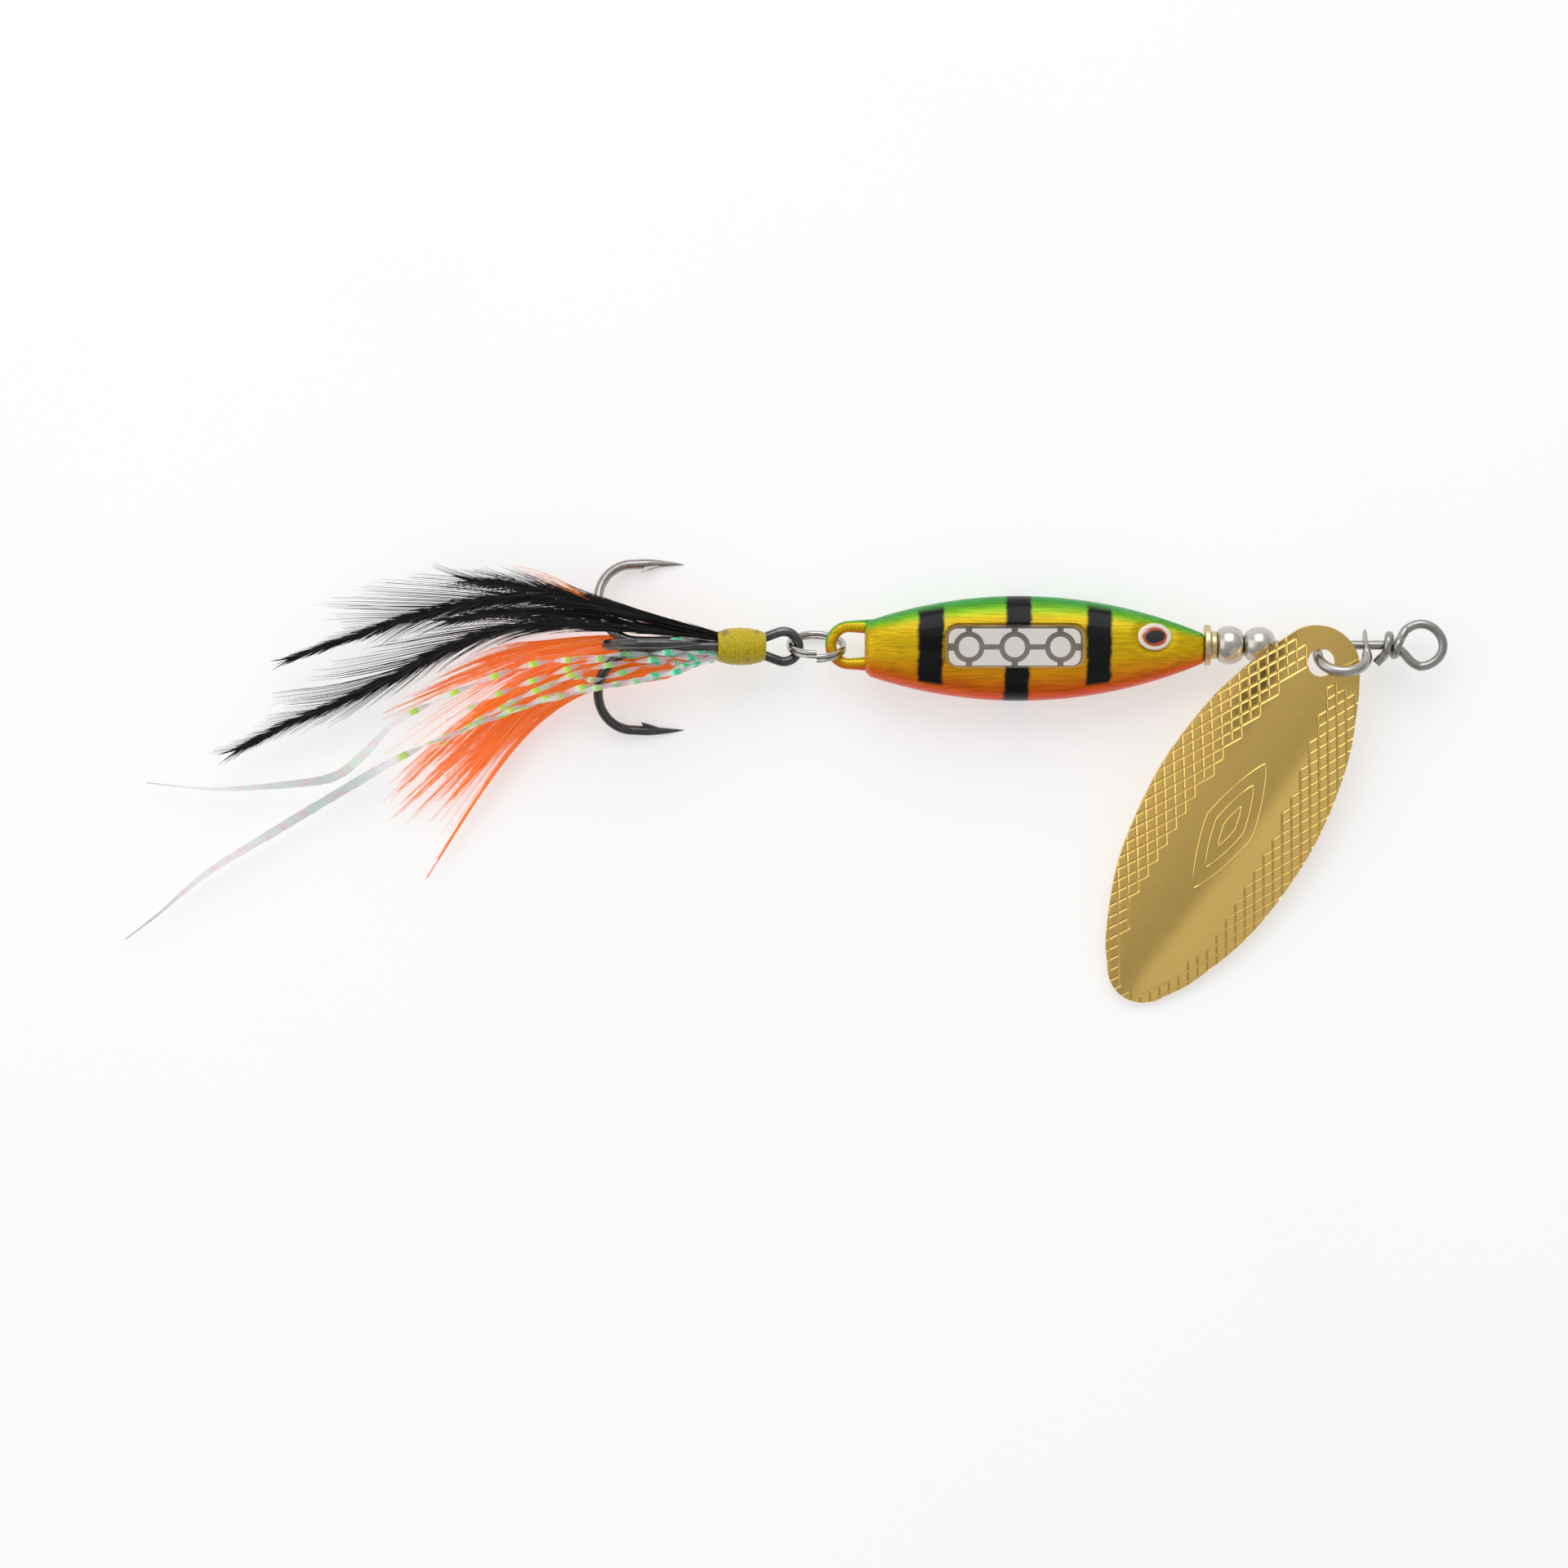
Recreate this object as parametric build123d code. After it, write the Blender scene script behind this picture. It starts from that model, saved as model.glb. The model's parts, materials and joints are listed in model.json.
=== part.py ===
from build123d import *
import math
import os

# An inline spinner lying on its side. Millimetres.
# Origin: centre of the line eye. +X runs along the shaft towards the line,
# +Y towards the fish's back, +Z up off the table.

# Wire shaft
SHAFT_RADIUS = 0.45
SHAFT_END_X = -31.0
EYE_BEND_RADIUS = 2.1
WRAP_RADIUS = 0.93
WRAP_PITCH = 1.0
WRAP_TURNS = 2
WRAP_START_X = -2.3

# Clevis: a U of wire with two flattened, drilled ears
CLEVIS_X = -7.84
CLEVIS_BEND_RADIUS = 2.4
CLEVIS_DEPTH = 4.1
CLEVIS_WIRE_RADIUS = 0.52
CLEVIS_TILT = 50.0
CLEVIS_ARM_START = 0.95
EAR_THICKNESS = 0.5
EAR_WIDTH = 2.3
EAR_TOE = 1.0
EAR_HEEL = 0.6
EAR_BORE_RADIUS = 0.55

# Blade: a stamped outline cut from a doubly curved sheet
BLADE_THICKNESS = 0.6
BLADE_LENGTH_RADIUS = 110.0
BLADE_WIDTH_RADIUS = 24.0
BLADE_HOLE_RADIUS = 1.35
BLADE_CROWN = 17.2
BLADE_HEADING = 241.2
BLADE_DROP = 0.113
BLADE_LEAN = 0.12
HOLE_DEPTH = 2.7
SHEET_WIDTH = 21
SHEET_DEPTH = 10
SHEET_TURN = 30.0
CUTTER_FLOOR = -6
CUTTER_HEIGHT = 8
# One side of the outline: distance past the hole, half width. An arc closes each end.
BLADE_SIDE = [(-1.6, 3.58), (2.0, 5.36), (8.0, 7.49), (16.6, 8.6), (26.0, 7.68), (33.2, 5.1),
              (36.4, 3.1)]
BLADE_HEEL = -3.5
BLADE_TIP = 38.2

# Beads, collar and washer, front to back
BEAD_BORE_RADIUS = 0.5
BEAD_FRONT = (-15.88, 1.8, -17.46, -14.32)
BEAD_REAR = (-18.8, 1.88, -20.0, -17.5)
COLLAR = (1.38, -20.62, -20.04)
WASHER = (2.0, -21.24, -20.66)
WASHER_EDGE = 0.12

# Body casting
BODY_NOSE_X = -21.28
BODY_TAIL_X = -54.5
BODY_WIDEST_X = -39.4
BODY_HALF_HEIGHT = 5.14
BODY_HALF_THICKNESS = 3.3
BODY_PROFILE_RADIUS = 46.0
BODY_THICKNESS_RATIO = 0.86
BODY_DROP = 0.32
BODY_SQUARENESS = 2.6
BODY_FLANK_BLEND = 12
BODY_SECTIONS = 13
SECTION_POINTS = 28
LOOP_X = -56.0
LOOP_BEND_RADIUS = 1.82
LOOP_WIRE_RADIUS = 0.55
LOOP_LEG_LENGTH = 2.6
SHAFT_BORE_LENGTH = 12

# Window through the body, and the grille held in it
WINDOW_CENTRE = (-39.8, -0.18)
WINDOW_SIZE = (13.2, 3.88)
WINDOW_CORNER = 1.0
WINDOW_FLARE = 0.7
WINDOW_THROAT = 0.9
GRILLE_THICKNESS = 0.5
GRILLE_RIM = 0.8
GRILLE_SHOW = 0.12
RING_PITCH = 4.48
RING_OUTER = 1.52
RING_INNER = 1.02
BAR_WIDTH = 0.51
STRUT_WIDTH = 0.6
END_BAR_WIDTH = 0.7
END_BAR_LENGTH = 1.2

# Fish eyes
EYE_X = -26.28
EYE_Y = 0.75
EYE_LENGTH = 3.45
EYE_HEIGHT = 2.72
EYE_SEAT = 0.45
EYE_DOME_RADIUS = 6.0
EYE_PROUD = 0.15

# Split ring: two turns of wire, standing almost upright
RING_CENTRE = (-59.22, -0.04, -0.36)
RING_RADIUS = 2.68
RING_WIRE_WIDE = 0.26
RING_WIRE_THIN = 0.21
RING_TURN_PITCH = 0.44
RING_LEAN = 24.6

# Treble hook
HOOK_EYE = (-62.42, -0.14, 0.12)
HOOK_PITCH = 8.0
HOOK_WIRE_RADIUS = 0.475
HOOK_EYE_RADIUS = 1.475
SHANK_OFFSET = 0.56
BEND_START = 14.3
BEND_LENGTH = 3.7
GAPE = 8.85
POINT_LENGTH = 5.0
TAPER_LENGTH = 3.6
POINT_RADIUS = 0.06
BARB_FROM_POINT = 4.0
BARB_LENGTH = 1.3
BARB_TIP = (0.25, -0.35)
BARB_ROOT = 0.2
BARB_WIDTH = 0.28
SHANK_START = 1.5
SINGLE_START = 2.4
WRAP_FROM = 1.9
WRAP_TO = 6.6
THREAD_BORE = 1.045
THREAD_OUTER = 1.8
THREAD_SHOULDER = (0.9, 1.7)
THREAD_FRONT = 1.25
THREAD_REAR = 1.35

# Dressing
DRESSING_X = -69.25
FEATHER_THICKNESS = 0.18
FLASH_THICKNESS = 0.08
# Height at the front of the first one, the step to the next, and the fall towards the tail
BLACK_LAY = (2.5, 0.3, 0.055)
ORANGE_LAY = (-0.2, -0.3, 0.08)
FLASH_LAY = (1.9, 0.11, 0.085)


def place_clevis(x, reach):
    """A point in the clevis's own plane: along the shaft, and out from it."""
    tilt = math.radians(CLEVIS_TILT)
    return Vector(x, -reach * math.cos(tilt), reach * math.sin(tilt))


def tube(path, radius, frenet=False):
    start = Plane(origin=path @ 0, z_dir=path % 0)
    return sweep(start * Circle(radius), path=path, is_frenet=frenet)


def ring_solid(plane, bend_radius, wire_radius):
    return plane * Torus(bend_radius, wire_radius)


def wire_shaft():
    length = -EYE_BEND_RADIUS - SHAFT_END_X
    rod_plane = Plane(origin=(SHAFT_END_X, 0, 0), z_dir=(1, 0, 0))
    rod = extrude(rod_plane * Circle(SHAFT_RADIUS), amount=length)
    eye = ring_solid(Plane.XY, EYE_BEND_RADIUS, SHAFT_RADIUS)
    coil_path = Helix(WRAP_PITCH, WRAP_PITCH * WRAP_TURNS, WRAP_RADIUS)
    coil = tube(coil_path, SHAFT_RADIUS, frenet=True)
    coil += Pos(WRAP_RADIUS, 0, 0) * Sphere(SHAFT_RADIUS)
    coil_plane = Plane(origin=(WRAP_START_X, 0, 0), x_dir=(0, 1, 0), z_dir=(-1, 0, 0))
    return rod + eye + coil_plane * coil


def clevis():
    out = place_clevis(0, 1)
    plane = Plane(origin=place_clevis(CLEVIS_X, 0), x_dir=(1, 0, 0), z_dir=Vector(1, 0, 0).cross(out))
    arm_end = CLEVIS_DEPTH - CLEVIS_BEND_RADIUS
    path = Wire([
        Line((-CLEVIS_BEND_RADIUS, CLEVIS_ARM_START), (-CLEVIS_BEND_RADIUS, arm_end)),
        CenterArc((0, arm_end), CLEVIS_BEND_RADIUS, 180, -180),
        Line((CLEVIS_BEND_RADIUS, arm_end), (CLEVIS_BEND_RADIUS, CLEVIS_ARM_START)),
    ])
    start = Plane(origin=(-CLEVIS_BEND_RADIUS, CLEVIS_ARM_START, 0), z_dir=(0, 1, 0))
    wire = plane * sweep(start * Circle(CLEVIS_WIRE_RADIUS), path=path)
    ears = []
    for side in (-1, 1):
        x = CLEVIS_X + side * CLEVIS_BEND_RADIUS - EAR_THICKNESS / 2
        ear_plane = Plane(origin=(x, 0, 0), x_dir=out, z_dir=(1, 0, 0))
        centre = (EAR_HEEL - EAR_TOE) / 2
        ear = Pos(centre, 0) * SlotCenterToCenter(EAR_HEEL + EAR_TOE, EAR_WIDTH)
        ear -= Circle(EAR_BORE_RADIUS)
        ears.append(extrude(ear_plane * ear, amount=EAR_THICKNESS))
    return wire + ears


def hole_centre():
    """Where the blade's hole sits: on the clevis wire, part of the way round its bend."""
    rise = HOLE_DEPTH - (CLEVIS_DEPTH - CLEVIS_BEND_RADIUS)
    along = math.sqrt(CLEVIS_BEND_RADIUS ** 2 - rise ** 2)
    return place_clevis(CLEVIS_X - along, HOLE_DEPTH)


def blade_normal():
    heading = math.radians(BLADE_HEADING)
    forward = Vector(math.cos(heading), math.sin(heading), 0)
    side = Vector(forward.Y, -forward.X, 0)
    slope = side * BLADE_LEAN - forward * BLADE_DROP
    return Vector(-slope.X, -slope.Y, 1).normalized()


def blade_plane():
    """The plane that touches the crown, with its origin above the hole."""
    normal = blade_normal()
    heading = math.radians(BLADE_HEADING)
    forward = Vector(math.cos(heading), math.sin(heading), 0)
    forward = (forward - normal * forward.dot(normal)).normalized()
    sag = BLADE_LENGTH_RADIUS - math.sqrt(BLADE_LENGTH_RADIUS ** 2 - BLADE_CROWN ** 2)
    origin = hole_centre() + normal * (sag + BLADE_THICKNESS / 2)
    return Plane(origin=origin, x_dir=forward, z_dir=normal)


def blade():
    strip = Circle(BLADE_WIDTH_RADIUS) - Circle(BLADE_WIDTH_RADIUS - BLADE_THICKNESS)
    strip &= Pos(0, BLADE_WIDTH_RADIUS) * Rectangle(SHEET_WIDTH, SHEET_DEPTH)
    section_plane = Plane(origin=(BLADE_CROWN, 0, -BLADE_WIDTH_RADIUS), x_dir=(0, 1, 0), z_dir=(1, 0, 0))
    axis = Axis((BLADE_CROWN, 0, -BLADE_LENGTH_RADIUS), (0, 1, 0))
    sheet = revolve(section_plane * strip, axis=axis, revolution_arc=SHEET_TURN)
    sheet = sheet.rotate(axis, -SHEET_TURN / 2)
    upper = [Vector(x, y) for x, y in BLADE_SIDE]
    lower = [Vector(x, -y) for x, y in BLADE_SIDE]
    rim = [Spline(*upper), ThreePointArc(upper[-1], (BLADE_TIP, 0), lower[-1]),
           Spline(*lower), ThreePointArc(upper[0], (BLADE_HEEL, 0), lower[0])]
    outline = make_face(rim) - Circle(BLADE_HOLE_RADIUS)
    sheet &= extrude(Plane.XY.offset(CUTTER_FLOOR) * outline, amount=CUTTER_HEIGHT)
    return (blade_plane() * sheet).fix()


def bead(centre_x, radius, from_x, to_x):
    solid = Pos(centre_x, 0, 0) * Sphere(radius)
    middle = (from_x + to_x) / 2
    solid &= Pos(middle, 0, 0) * Box(to_x - from_x, 3 * radius, 3 * radius)
    return solid - Pos(middle, 0, 0) * Rot(0, 90, 0) * Cylinder(BEAD_BORE_RADIUS, 8)


def washer(radius, from_x, to_x):
    plane = Plane(origin=(from_x, 0, 0), z_dir=(1, 0, 0))
    disc = extrude(plane * (Circle(radius) - Circle(BEAD_BORE_RADIUS)), amount=to_x - from_x)
    rims = disc.edges().filter_by(GeomType.CIRCLE)
    return fillet([rim for rim in rims if rim.radius > 2 * BEAD_BORE_RADIUS], WASHER_EDGE)


def body_half_height(x):
    reach = x - BODY_WIDEST_X
    return BODY_HALF_HEIGHT - BODY_PROFILE_RADIUS + math.sqrt(BODY_PROFILE_RADIUS ** 2 - reach ** 2)


def body_half_thickness(x):
    tapered = BODY_THICKNESS_RATIO * body_half_height(x)
    blend = BODY_FLANK_BLEND
    return (tapered ** -blend + BODY_HALF_THICKNESS ** -blend) ** (-1 / blend)


def body_section(x):
    high = body_half_height(x)
    wide = body_half_thickness(x)
    points = []
    for i in range(SECTION_POINTS):
        angle = 2 * math.pi * i / SECTION_POINTS
        c = math.cos(angle)
        s = math.sin(angle)
        y = math.copysign(abs(c) ** (2 / BODY_SQUARENESS), c) * high
        z = math.copysign(abs(s) ** (2 / BODY_SQUARENESS), s) * wide
        points.append(Vector(x, y - BODY_DROP, z))
    return make_face(Spline(*points, periodic=True))


def eye_plane(side):
    """The tangent plane of the flank where a fish eye sits."""

    def flank(x, y):
        share = abs(y + BODY_DROP) / body_half_height(x)
        return body_half_thickness(x) * (1 - share ** BODY_SQUARENESS) ** (1 / BODY_SQUARENESS)

    step = 0.01
    z = flank(EYE_X, EYE_Y)
    slope_x = (flank(EYE_X + step, EYE_Y) - z) / step
    slope_y = (flank(EYE_X, EYE_Y + step) - z) / step
    normal = Vector(-slope_x, -slope_y, 1)
    return Plane(origin=(EYE_X, EYE_Y, side * z), x_dir=(1, 0, side * slope_x),
                 z_dir=(normal.X, normal.Y, side * normal.Z))


def eye(side):
    plane = eye_plane(side)
    slug = extrude(Plane.XY.offset(-EYE_SEAT) * Ellipse(EYE_LENGTH / 2, EYE_HEIGHT / 2), amount=1)
    slug &= Pos(0, 0, EYE_PROUD - EYE_DOME_RADIUS) * Sphere(EYE_DOME_RADIUS)
    return plane * slug


def window_prism(grow, depth):
    width, height = WINDOW_SIZE
    shape = RectangleRounded(width + 2 * grow, height + 2 * grow, WINDOW_CORNER + grow)
    return Pos(*WINDOW_CENTRE, 0) * extrude(shape, amount=depth / 2, both=True)


def body():
    step = (BODY_NOSE_X - BODY_TAIL_X) / (BODY_SECTIONS - 1)
    casting = loft([body_section(BODY_TAIL_X + i * step) for i in range(BODY_SECTIONS)])
    loop = ring_solid(Plane(origin=(LOOP_X, 0, 0)), LOOP_BEND_RADIUS, LOOP_WIRE_RADIUS)
    loop_reach = 2 * (LOOP_BEND_RADIUS + LOOP_WIRE_RADIUS)
    loop &= Pos(LOOP_X - loop_reach / 2, 0, 0) * Box(loop_reach, 2 * loop_reach, loop_reach)
    casting += loop
    for side in (-1, 1):
        leg = Plane(origin=(LOOP_X, side * LOOP_BEND_RADIUS, 0), z_dir=(1, 0, 0))
        casting += extrude(leg * Circle(LOOP_WIRE_RADIUS), amount=LOOP_LEG_LENGTH)
    casting -= window_prism(0, 3 * BODY_HALF_THICKNESS)
    taper = math.degrees(math.atan(WINDOW_FLARE / (BODY_HALF_THICKNESS - WINDOW_THROAT)))
    mouth = RectangleRounded(*WINDOW_SIZE, WINDOW_CORNER)
    mouth = extrude(mouth, amount=BODY_HALF_THICKNESS, taper=-taper)
    mouth = Pos(*WINDOW_CENTRE, WINDOW_THROAT) * mouth
    casting -= mouth
    casting -= mouth.mirror(Plane.XY)
    casting -= window_prism(GRILLE_RIM, GRILLE_THICKNESS)
    bore = Plane(origin=(SHAFT_END_X, 0, 0), z_dir=(1, 0, 0))
    casting -= extrude(bore * Circle(SHAFT_RADIUS), amount=SHAFT_BORE_LENGTH)
    for side in (-1, 1):
        pocket = extrude(Plane.XY.offset(-EYE_SEAT) * Ellipse(EYE_LENGTH / 2, EYE_HEIGHT / 2), amount=2)
        casting -= eye_plane(side) * pocket
    return casting


def window_grille():
    centre_x, centre_y = WINDOW_CENTRE
    plate = window_prism(GRILLE_RIM, GRILLE_THICKNESS)
    opening = window_prism(-GRILLE_SHOW, 4 * GRILLE_THICKNESS)
    width, height = WINDOW_SIZE
    lattice = Rectangle(width, BAR_WIDTH)
    for i in (-1, 0, 1):
        lattice += Pos(i * RING_PITCH, 0) * (Circle(RING_OUTER) + Rectangle(STRUT_WIDTH, height))
    for i in (-1, 1):
        lattice += Pos(i * (width - END_BAR_LENGTH) / 2, 0) * Rectangle(END_BAR_LENGTH, END_BAR_WIDTH)
    for i in (-1, 0, 1):
        lattice -= Pos(i * RING_PITCH, 0) * Circle(RING_INNER)
    web = extrude(lattice, amount=GRILLE_THICKNESS / 2, both=True)
    return plate - opening + Pos(centre_x, centre_y, 0) * web


def split_ring():
    lean = math.radians(RING_LEAN)
    axis = Vector(0, math.cos(lean), math.sin(lean))
    height = 2 * RING_TURN_PITCH
    path = Helix(RING_TURN_PITCH, height, RING_RADIUS)
    start = Plane(origin=path @ 0, x_dir=(1, 0, 0), z_dir=path % 0)
    coil = sweep(start * Ellipse(RING_WIRE_WIDE, RING_WIRE_THIN), path=path, is_frenet=True)
    coil = Pos(0, 0, -height / 2) * coil
    top = Vector(0, -math.sin(lean), math.cos(lean))
    return Plane(origin=RING_CENTRE, x_dir=top, z_dir=axis) * coil


def treble_plane():
    pitch = math.radians(HOOK_PITCH)
    return Plane(origin=HOOK_EYE, x_dir=(-math.cos(pitch), 0, math.sin(pitch)),
                 z_dir=(math.sin(pitch), 0, math.cos(pitch)))


def hook(angle, start_x):
    """One hook in the treble's own frame: shank along X, point out at this angle about X."""
    bend_y = SHANK_OFFSET + GAPE / 2
    point_y = SHANK_OFFSET + GAPE
    body_end = BEND_START - POINT_LENGTH + TAPER_LENGTH
    path = Wire([
        Line((start_x, SHANK_OFFSET), (BEND_START, SHANK_OFFSET)),
        EllipticalCenterArc((BEND_START, bend_y), BEND_LENGTH, GAPE / 2, -90, arc_size=180),
        Line((BEND_START, point_y), (body_end, point_y)),
    ])
    start = Plane(origin=(start_x, SHANK_OFFSET, 0), z_dir=(1, 0, 0))
    wire = sweep(start * Circle(HOOK_WIRE_RADIUS), path=path)
    tip_plane = Plane(origin=(body_end - TAPER_LENGTH / 2, point_y, 0), z_dir=(-1, 0, 0))
    wire += tip_plane * Cone(HOOK_WIRE_RADIUS, POINT_RADIUS, TAPER_LENGTH)
    barb_x = BEND_START - POINT_LENGTH + BARB_FROM_POINT
    inner_y = point_y - HOOK_WIRE_RADIUS
    tip = (barb_x + BARB_TIP[0], inner_y + BARB_TIP[1])
    root = (barb_x, inner_y + BARB_ROOT)
    barb = Polyline((barb_x - BARB_LENGTH, inner_y + BARB_ROOT), tip, root, close=True)
    wire += extrude(make_face(barb), amount=BARB_WIDTH / 2, both=True)
    return Rot(angle, 0, 0) * wire


def hook_double():
    eye_ring = Torus(HOOK_EYE_RADIUS, HOOK_WIRE_RADIUS)
    return treble_plane() * (eye_ring + hook(-30, SHANK_START) + hook(210, SHANK_START))


def hook_single():
    return treble_plane() * hook(90, SINGLE_START)


def thread_wrap():
    middle = (WRAP_FROM + WRAP_TO) / 2
    inset, shoulder = THREAD_SHOULDER
    crown = Spline((WRAP_FROM, THREAD_FRONT), (WRAP_FROM + inset, shoulder), (middle, THREAD_OUTER),
                   (WRAP_TO - inset, shoulder), (WRAP_TO, THREAD_REAR))
    rest = Polyline((WRAP_TO, THREAD_REAR), (WRAP_TO, THREAD_BORE), (WRAP_FROM, THREAD_BORE),
                    (WRAP_FROM, THREAD_FRONT))
    return treble_plane() * revolve(make_face([crown, rest]), axis=Axis.X)


def vane(points, widths, thickness, level, slope):
    """A flat feather or strand: a centre line with a half width at each of its points."""
    line = Spline(*[Vector(x, y) for x, y in points])
    left = []
    right = []
    for i, width in enumerate(widths):
        share = i / (len(widths) - 1)
        across = (line % share).rotate(Axis.Z, 90) * width
        left.append(line @ share + across)
        right.append(line @ share - across)
    edge = [Spline(*left), Line(left[-1], right[-1]), Spline(*right), Line(left[0], right[0])]
    flat = extrude(make_face(edge), amount=thickness)
    hinge = Axis((DRESSING_X, 0, 0), (0, 1, 0))
    return Pos(0, 0, level) * flat.rotate(hinge, -math.degrees(math.atan(slope)))


HACKLE_WIDTHS = [0.2, 0.35, 1.2, 2.0, 2.2, 2.0, 1.6, 1.0, 0.15]
PLUME_WIDTHS = [0.25, 0.5, 1.2, 2.2, 3.0, 3.0, 1.8, 0.4]
FLASH_WIDTHS = [0.25, 0.3, 0.3, 0.3, 0.28, 0.25, 0.15]

BLACK_FEATHERS = [
    [(DRESSING_X, 1.2), (-78.0, 2.9), (-88.6, 4.4), (-99.2, 2.5), (-110.5, -1.3)],
    [(DRESSING_X, 1.0), (-78.0, 1.7), (-88.6, 1.9), (-101.3, -3.3), (-115.8, -10.2)],
    [(DRESSING_X, 1.4), (-83.2, 4.3), (-91.2, 5.6), (-99.6, 6.3)],
    [(DRESSING_X, 1.1), (-83.2, 1.8), (-94.4, 0.0), (-110.2, -5.3)],
]
ORANGE_PLUMES = [
    [(DRESSING_X, -0.7), (-80.0, -1.4), (-92.0, -2.4), (-103.0, -5.5)],
    [(DRESSING_X, -0.7), (-80.0, -2.4), (-90.0, -6.6), (-98.0, -12.0), (-103.4, -17.0)],
    [(DRESSING_X, -0.7), (-78.4, -2.6), (-87.2, -7.2), (-93.6, -15.2), (-97.7, -22.5)],
]
FLASH_STRANDS = [
    [(DRESSING_X, -1.3), (-79.6, -4.1), (-91.9, -7.3), (-104.6, -13.6), (-127.2, -28.9)],
    [(DRESSING_X, -1.3), (-79.6, -4.1), (-97.4, -6.2), (-106.3, -12.4), (-125.0, -13.5)],
    [(DRESSING_X, -1.3), (-79.6, -4.1), (-90.0, -6.5), (-99.0, -8.0)],
    [(DRESSING_X, -1.3), (-79.6, -4.1), (-96.0, -5.4)],
    [(DRESSING_X, -1.3), (-79.6, -4.1), (-93.0, -10.6)],
    [(DRESSING_X, -1.3), (-79.6, -4.1), (-90.0, -8.0), (-98.0, -13.0)],
]


def dressing(name, lines, widths, thickness, lay):
    """All the vanes of one kind, laid one above the other."""
    level, step, slope = lay
    return {f"{name}_{i + 1}": vane(points, widths, thickness, level + step * i, slope)
            for i, points in enumerate(lines)}


def main():
    os.makedirs("parts", exist_ok=True)
    nodes = {
        "wire_shaft": wire_shaft(),
        "clevis": clevis(),
        "blade": blade(),
        "bead_front": bead(*BEAD_FRONT),
        "bead_rear": bead(*BEAD_REAR),
        "bearing_collar": washer(*COLLAR),
        "nose_washer": washer(*WASHER),
        "body": body(),
        "window_grille": window_grille(),
        "fish_eye_near": eye(1),
        "fish_eye_far": eye(-1),
        "split_ring": split_ring(),
        "hook_double": hook_double(),
        "hook_single": hook_single(),
        "thread_wrap": thread_wrap(),
    }
    nodes |= dressing("black_feather", BLACK_FEATHERS, HACKLE_WIDTHS, FEATHER_THICKNESS, BLACK_LAY)
    nodes |= dressing("orange_plume", ORANGE_PLUMES, PLUME_WIDTHS, FEATHER_THICKNESS, ORANGE_LAY)
    nodes |= dressing("flash_strand", FLASH_STRANDS, FLASH_WIDTHS, FLASH_THICKNESS, FLASH_LAY)
    for name, shape in nodes.items():
        export_step(shape, f"parts/{name}.step")


main()
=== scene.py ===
import json
import math
import random

import bmesh
import bpy
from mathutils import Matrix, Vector


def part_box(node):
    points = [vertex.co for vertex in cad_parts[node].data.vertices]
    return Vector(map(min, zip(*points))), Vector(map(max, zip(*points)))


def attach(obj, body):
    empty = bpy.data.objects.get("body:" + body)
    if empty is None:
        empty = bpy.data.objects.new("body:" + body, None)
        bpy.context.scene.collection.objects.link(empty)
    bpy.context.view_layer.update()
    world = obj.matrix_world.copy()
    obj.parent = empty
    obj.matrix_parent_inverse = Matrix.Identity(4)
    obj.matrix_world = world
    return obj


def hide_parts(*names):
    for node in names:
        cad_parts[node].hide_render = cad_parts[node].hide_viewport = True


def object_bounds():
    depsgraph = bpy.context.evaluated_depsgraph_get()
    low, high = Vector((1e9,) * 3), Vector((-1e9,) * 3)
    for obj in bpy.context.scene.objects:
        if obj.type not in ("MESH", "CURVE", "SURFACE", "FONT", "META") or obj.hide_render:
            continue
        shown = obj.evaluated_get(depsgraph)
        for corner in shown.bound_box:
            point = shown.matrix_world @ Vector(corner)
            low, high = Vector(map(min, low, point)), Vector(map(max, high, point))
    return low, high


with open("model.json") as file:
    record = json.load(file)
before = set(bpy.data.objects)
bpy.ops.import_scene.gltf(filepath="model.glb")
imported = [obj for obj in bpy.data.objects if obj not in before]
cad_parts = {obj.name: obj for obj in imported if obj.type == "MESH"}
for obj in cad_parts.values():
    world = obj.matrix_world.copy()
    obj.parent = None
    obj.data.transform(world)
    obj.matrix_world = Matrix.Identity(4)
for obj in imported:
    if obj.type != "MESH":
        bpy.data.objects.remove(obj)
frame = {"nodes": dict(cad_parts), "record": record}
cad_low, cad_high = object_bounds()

# An inline spinner on a pale table, seen from above. Shapes are worked out in
# millimetres in the part's own frame (+X to the line, +Y to the fish's back, +Z up).
MM = 0.001


def corners(node):
    low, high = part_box(node)
    return low / MM, high / MM


TABLE_Z = cad_low.z / MM

# ---------------------------------------------------------------- mesh helpers


def finish_piece(obj, body, nodes, material, sharp=40.0):
    """Give a new object its material and body, and hide the CAD nodes it stands for."""
    obj.data.polygons.foreach_set("use_smooth", [True] * len(obj.data.polygons))
    obj.data.set_sharp_from_angle(angle=math.radians(sharp))
    obj.data.materials.clear()
    obj.data.materials.append(material)
    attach(obj, body)
    if nodes:
        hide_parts(*nodes)
    return obj


def add_values(mesh, values):
    for key, column in values.items():
        layer = mesh.attributes.new(key, "FLOAT", "POINT")
        layer.data.foreach_set("value", column)


def new_object(name, verts, faces, values=None):
    """A mesh object from millimetre vertices, with named per-vertex float attributes."""
    mesh = bpy.data.meshes.new(name)
    mesh.from_pydata([(v[0] * MM, v[1] * MM, v[2] * MM) for v in verts], [], faces)
    add_values(mesh, values or {})
    mesh.update()
    obj = bpy.data.objects.new(name, mesh)
    bpy.context.scene.collection.objects.link(obj)
    return obj


def open_mesh(obj):
    shape = bmesh.new()
    shape.from_mesh(obj.data)
    return shape


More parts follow.
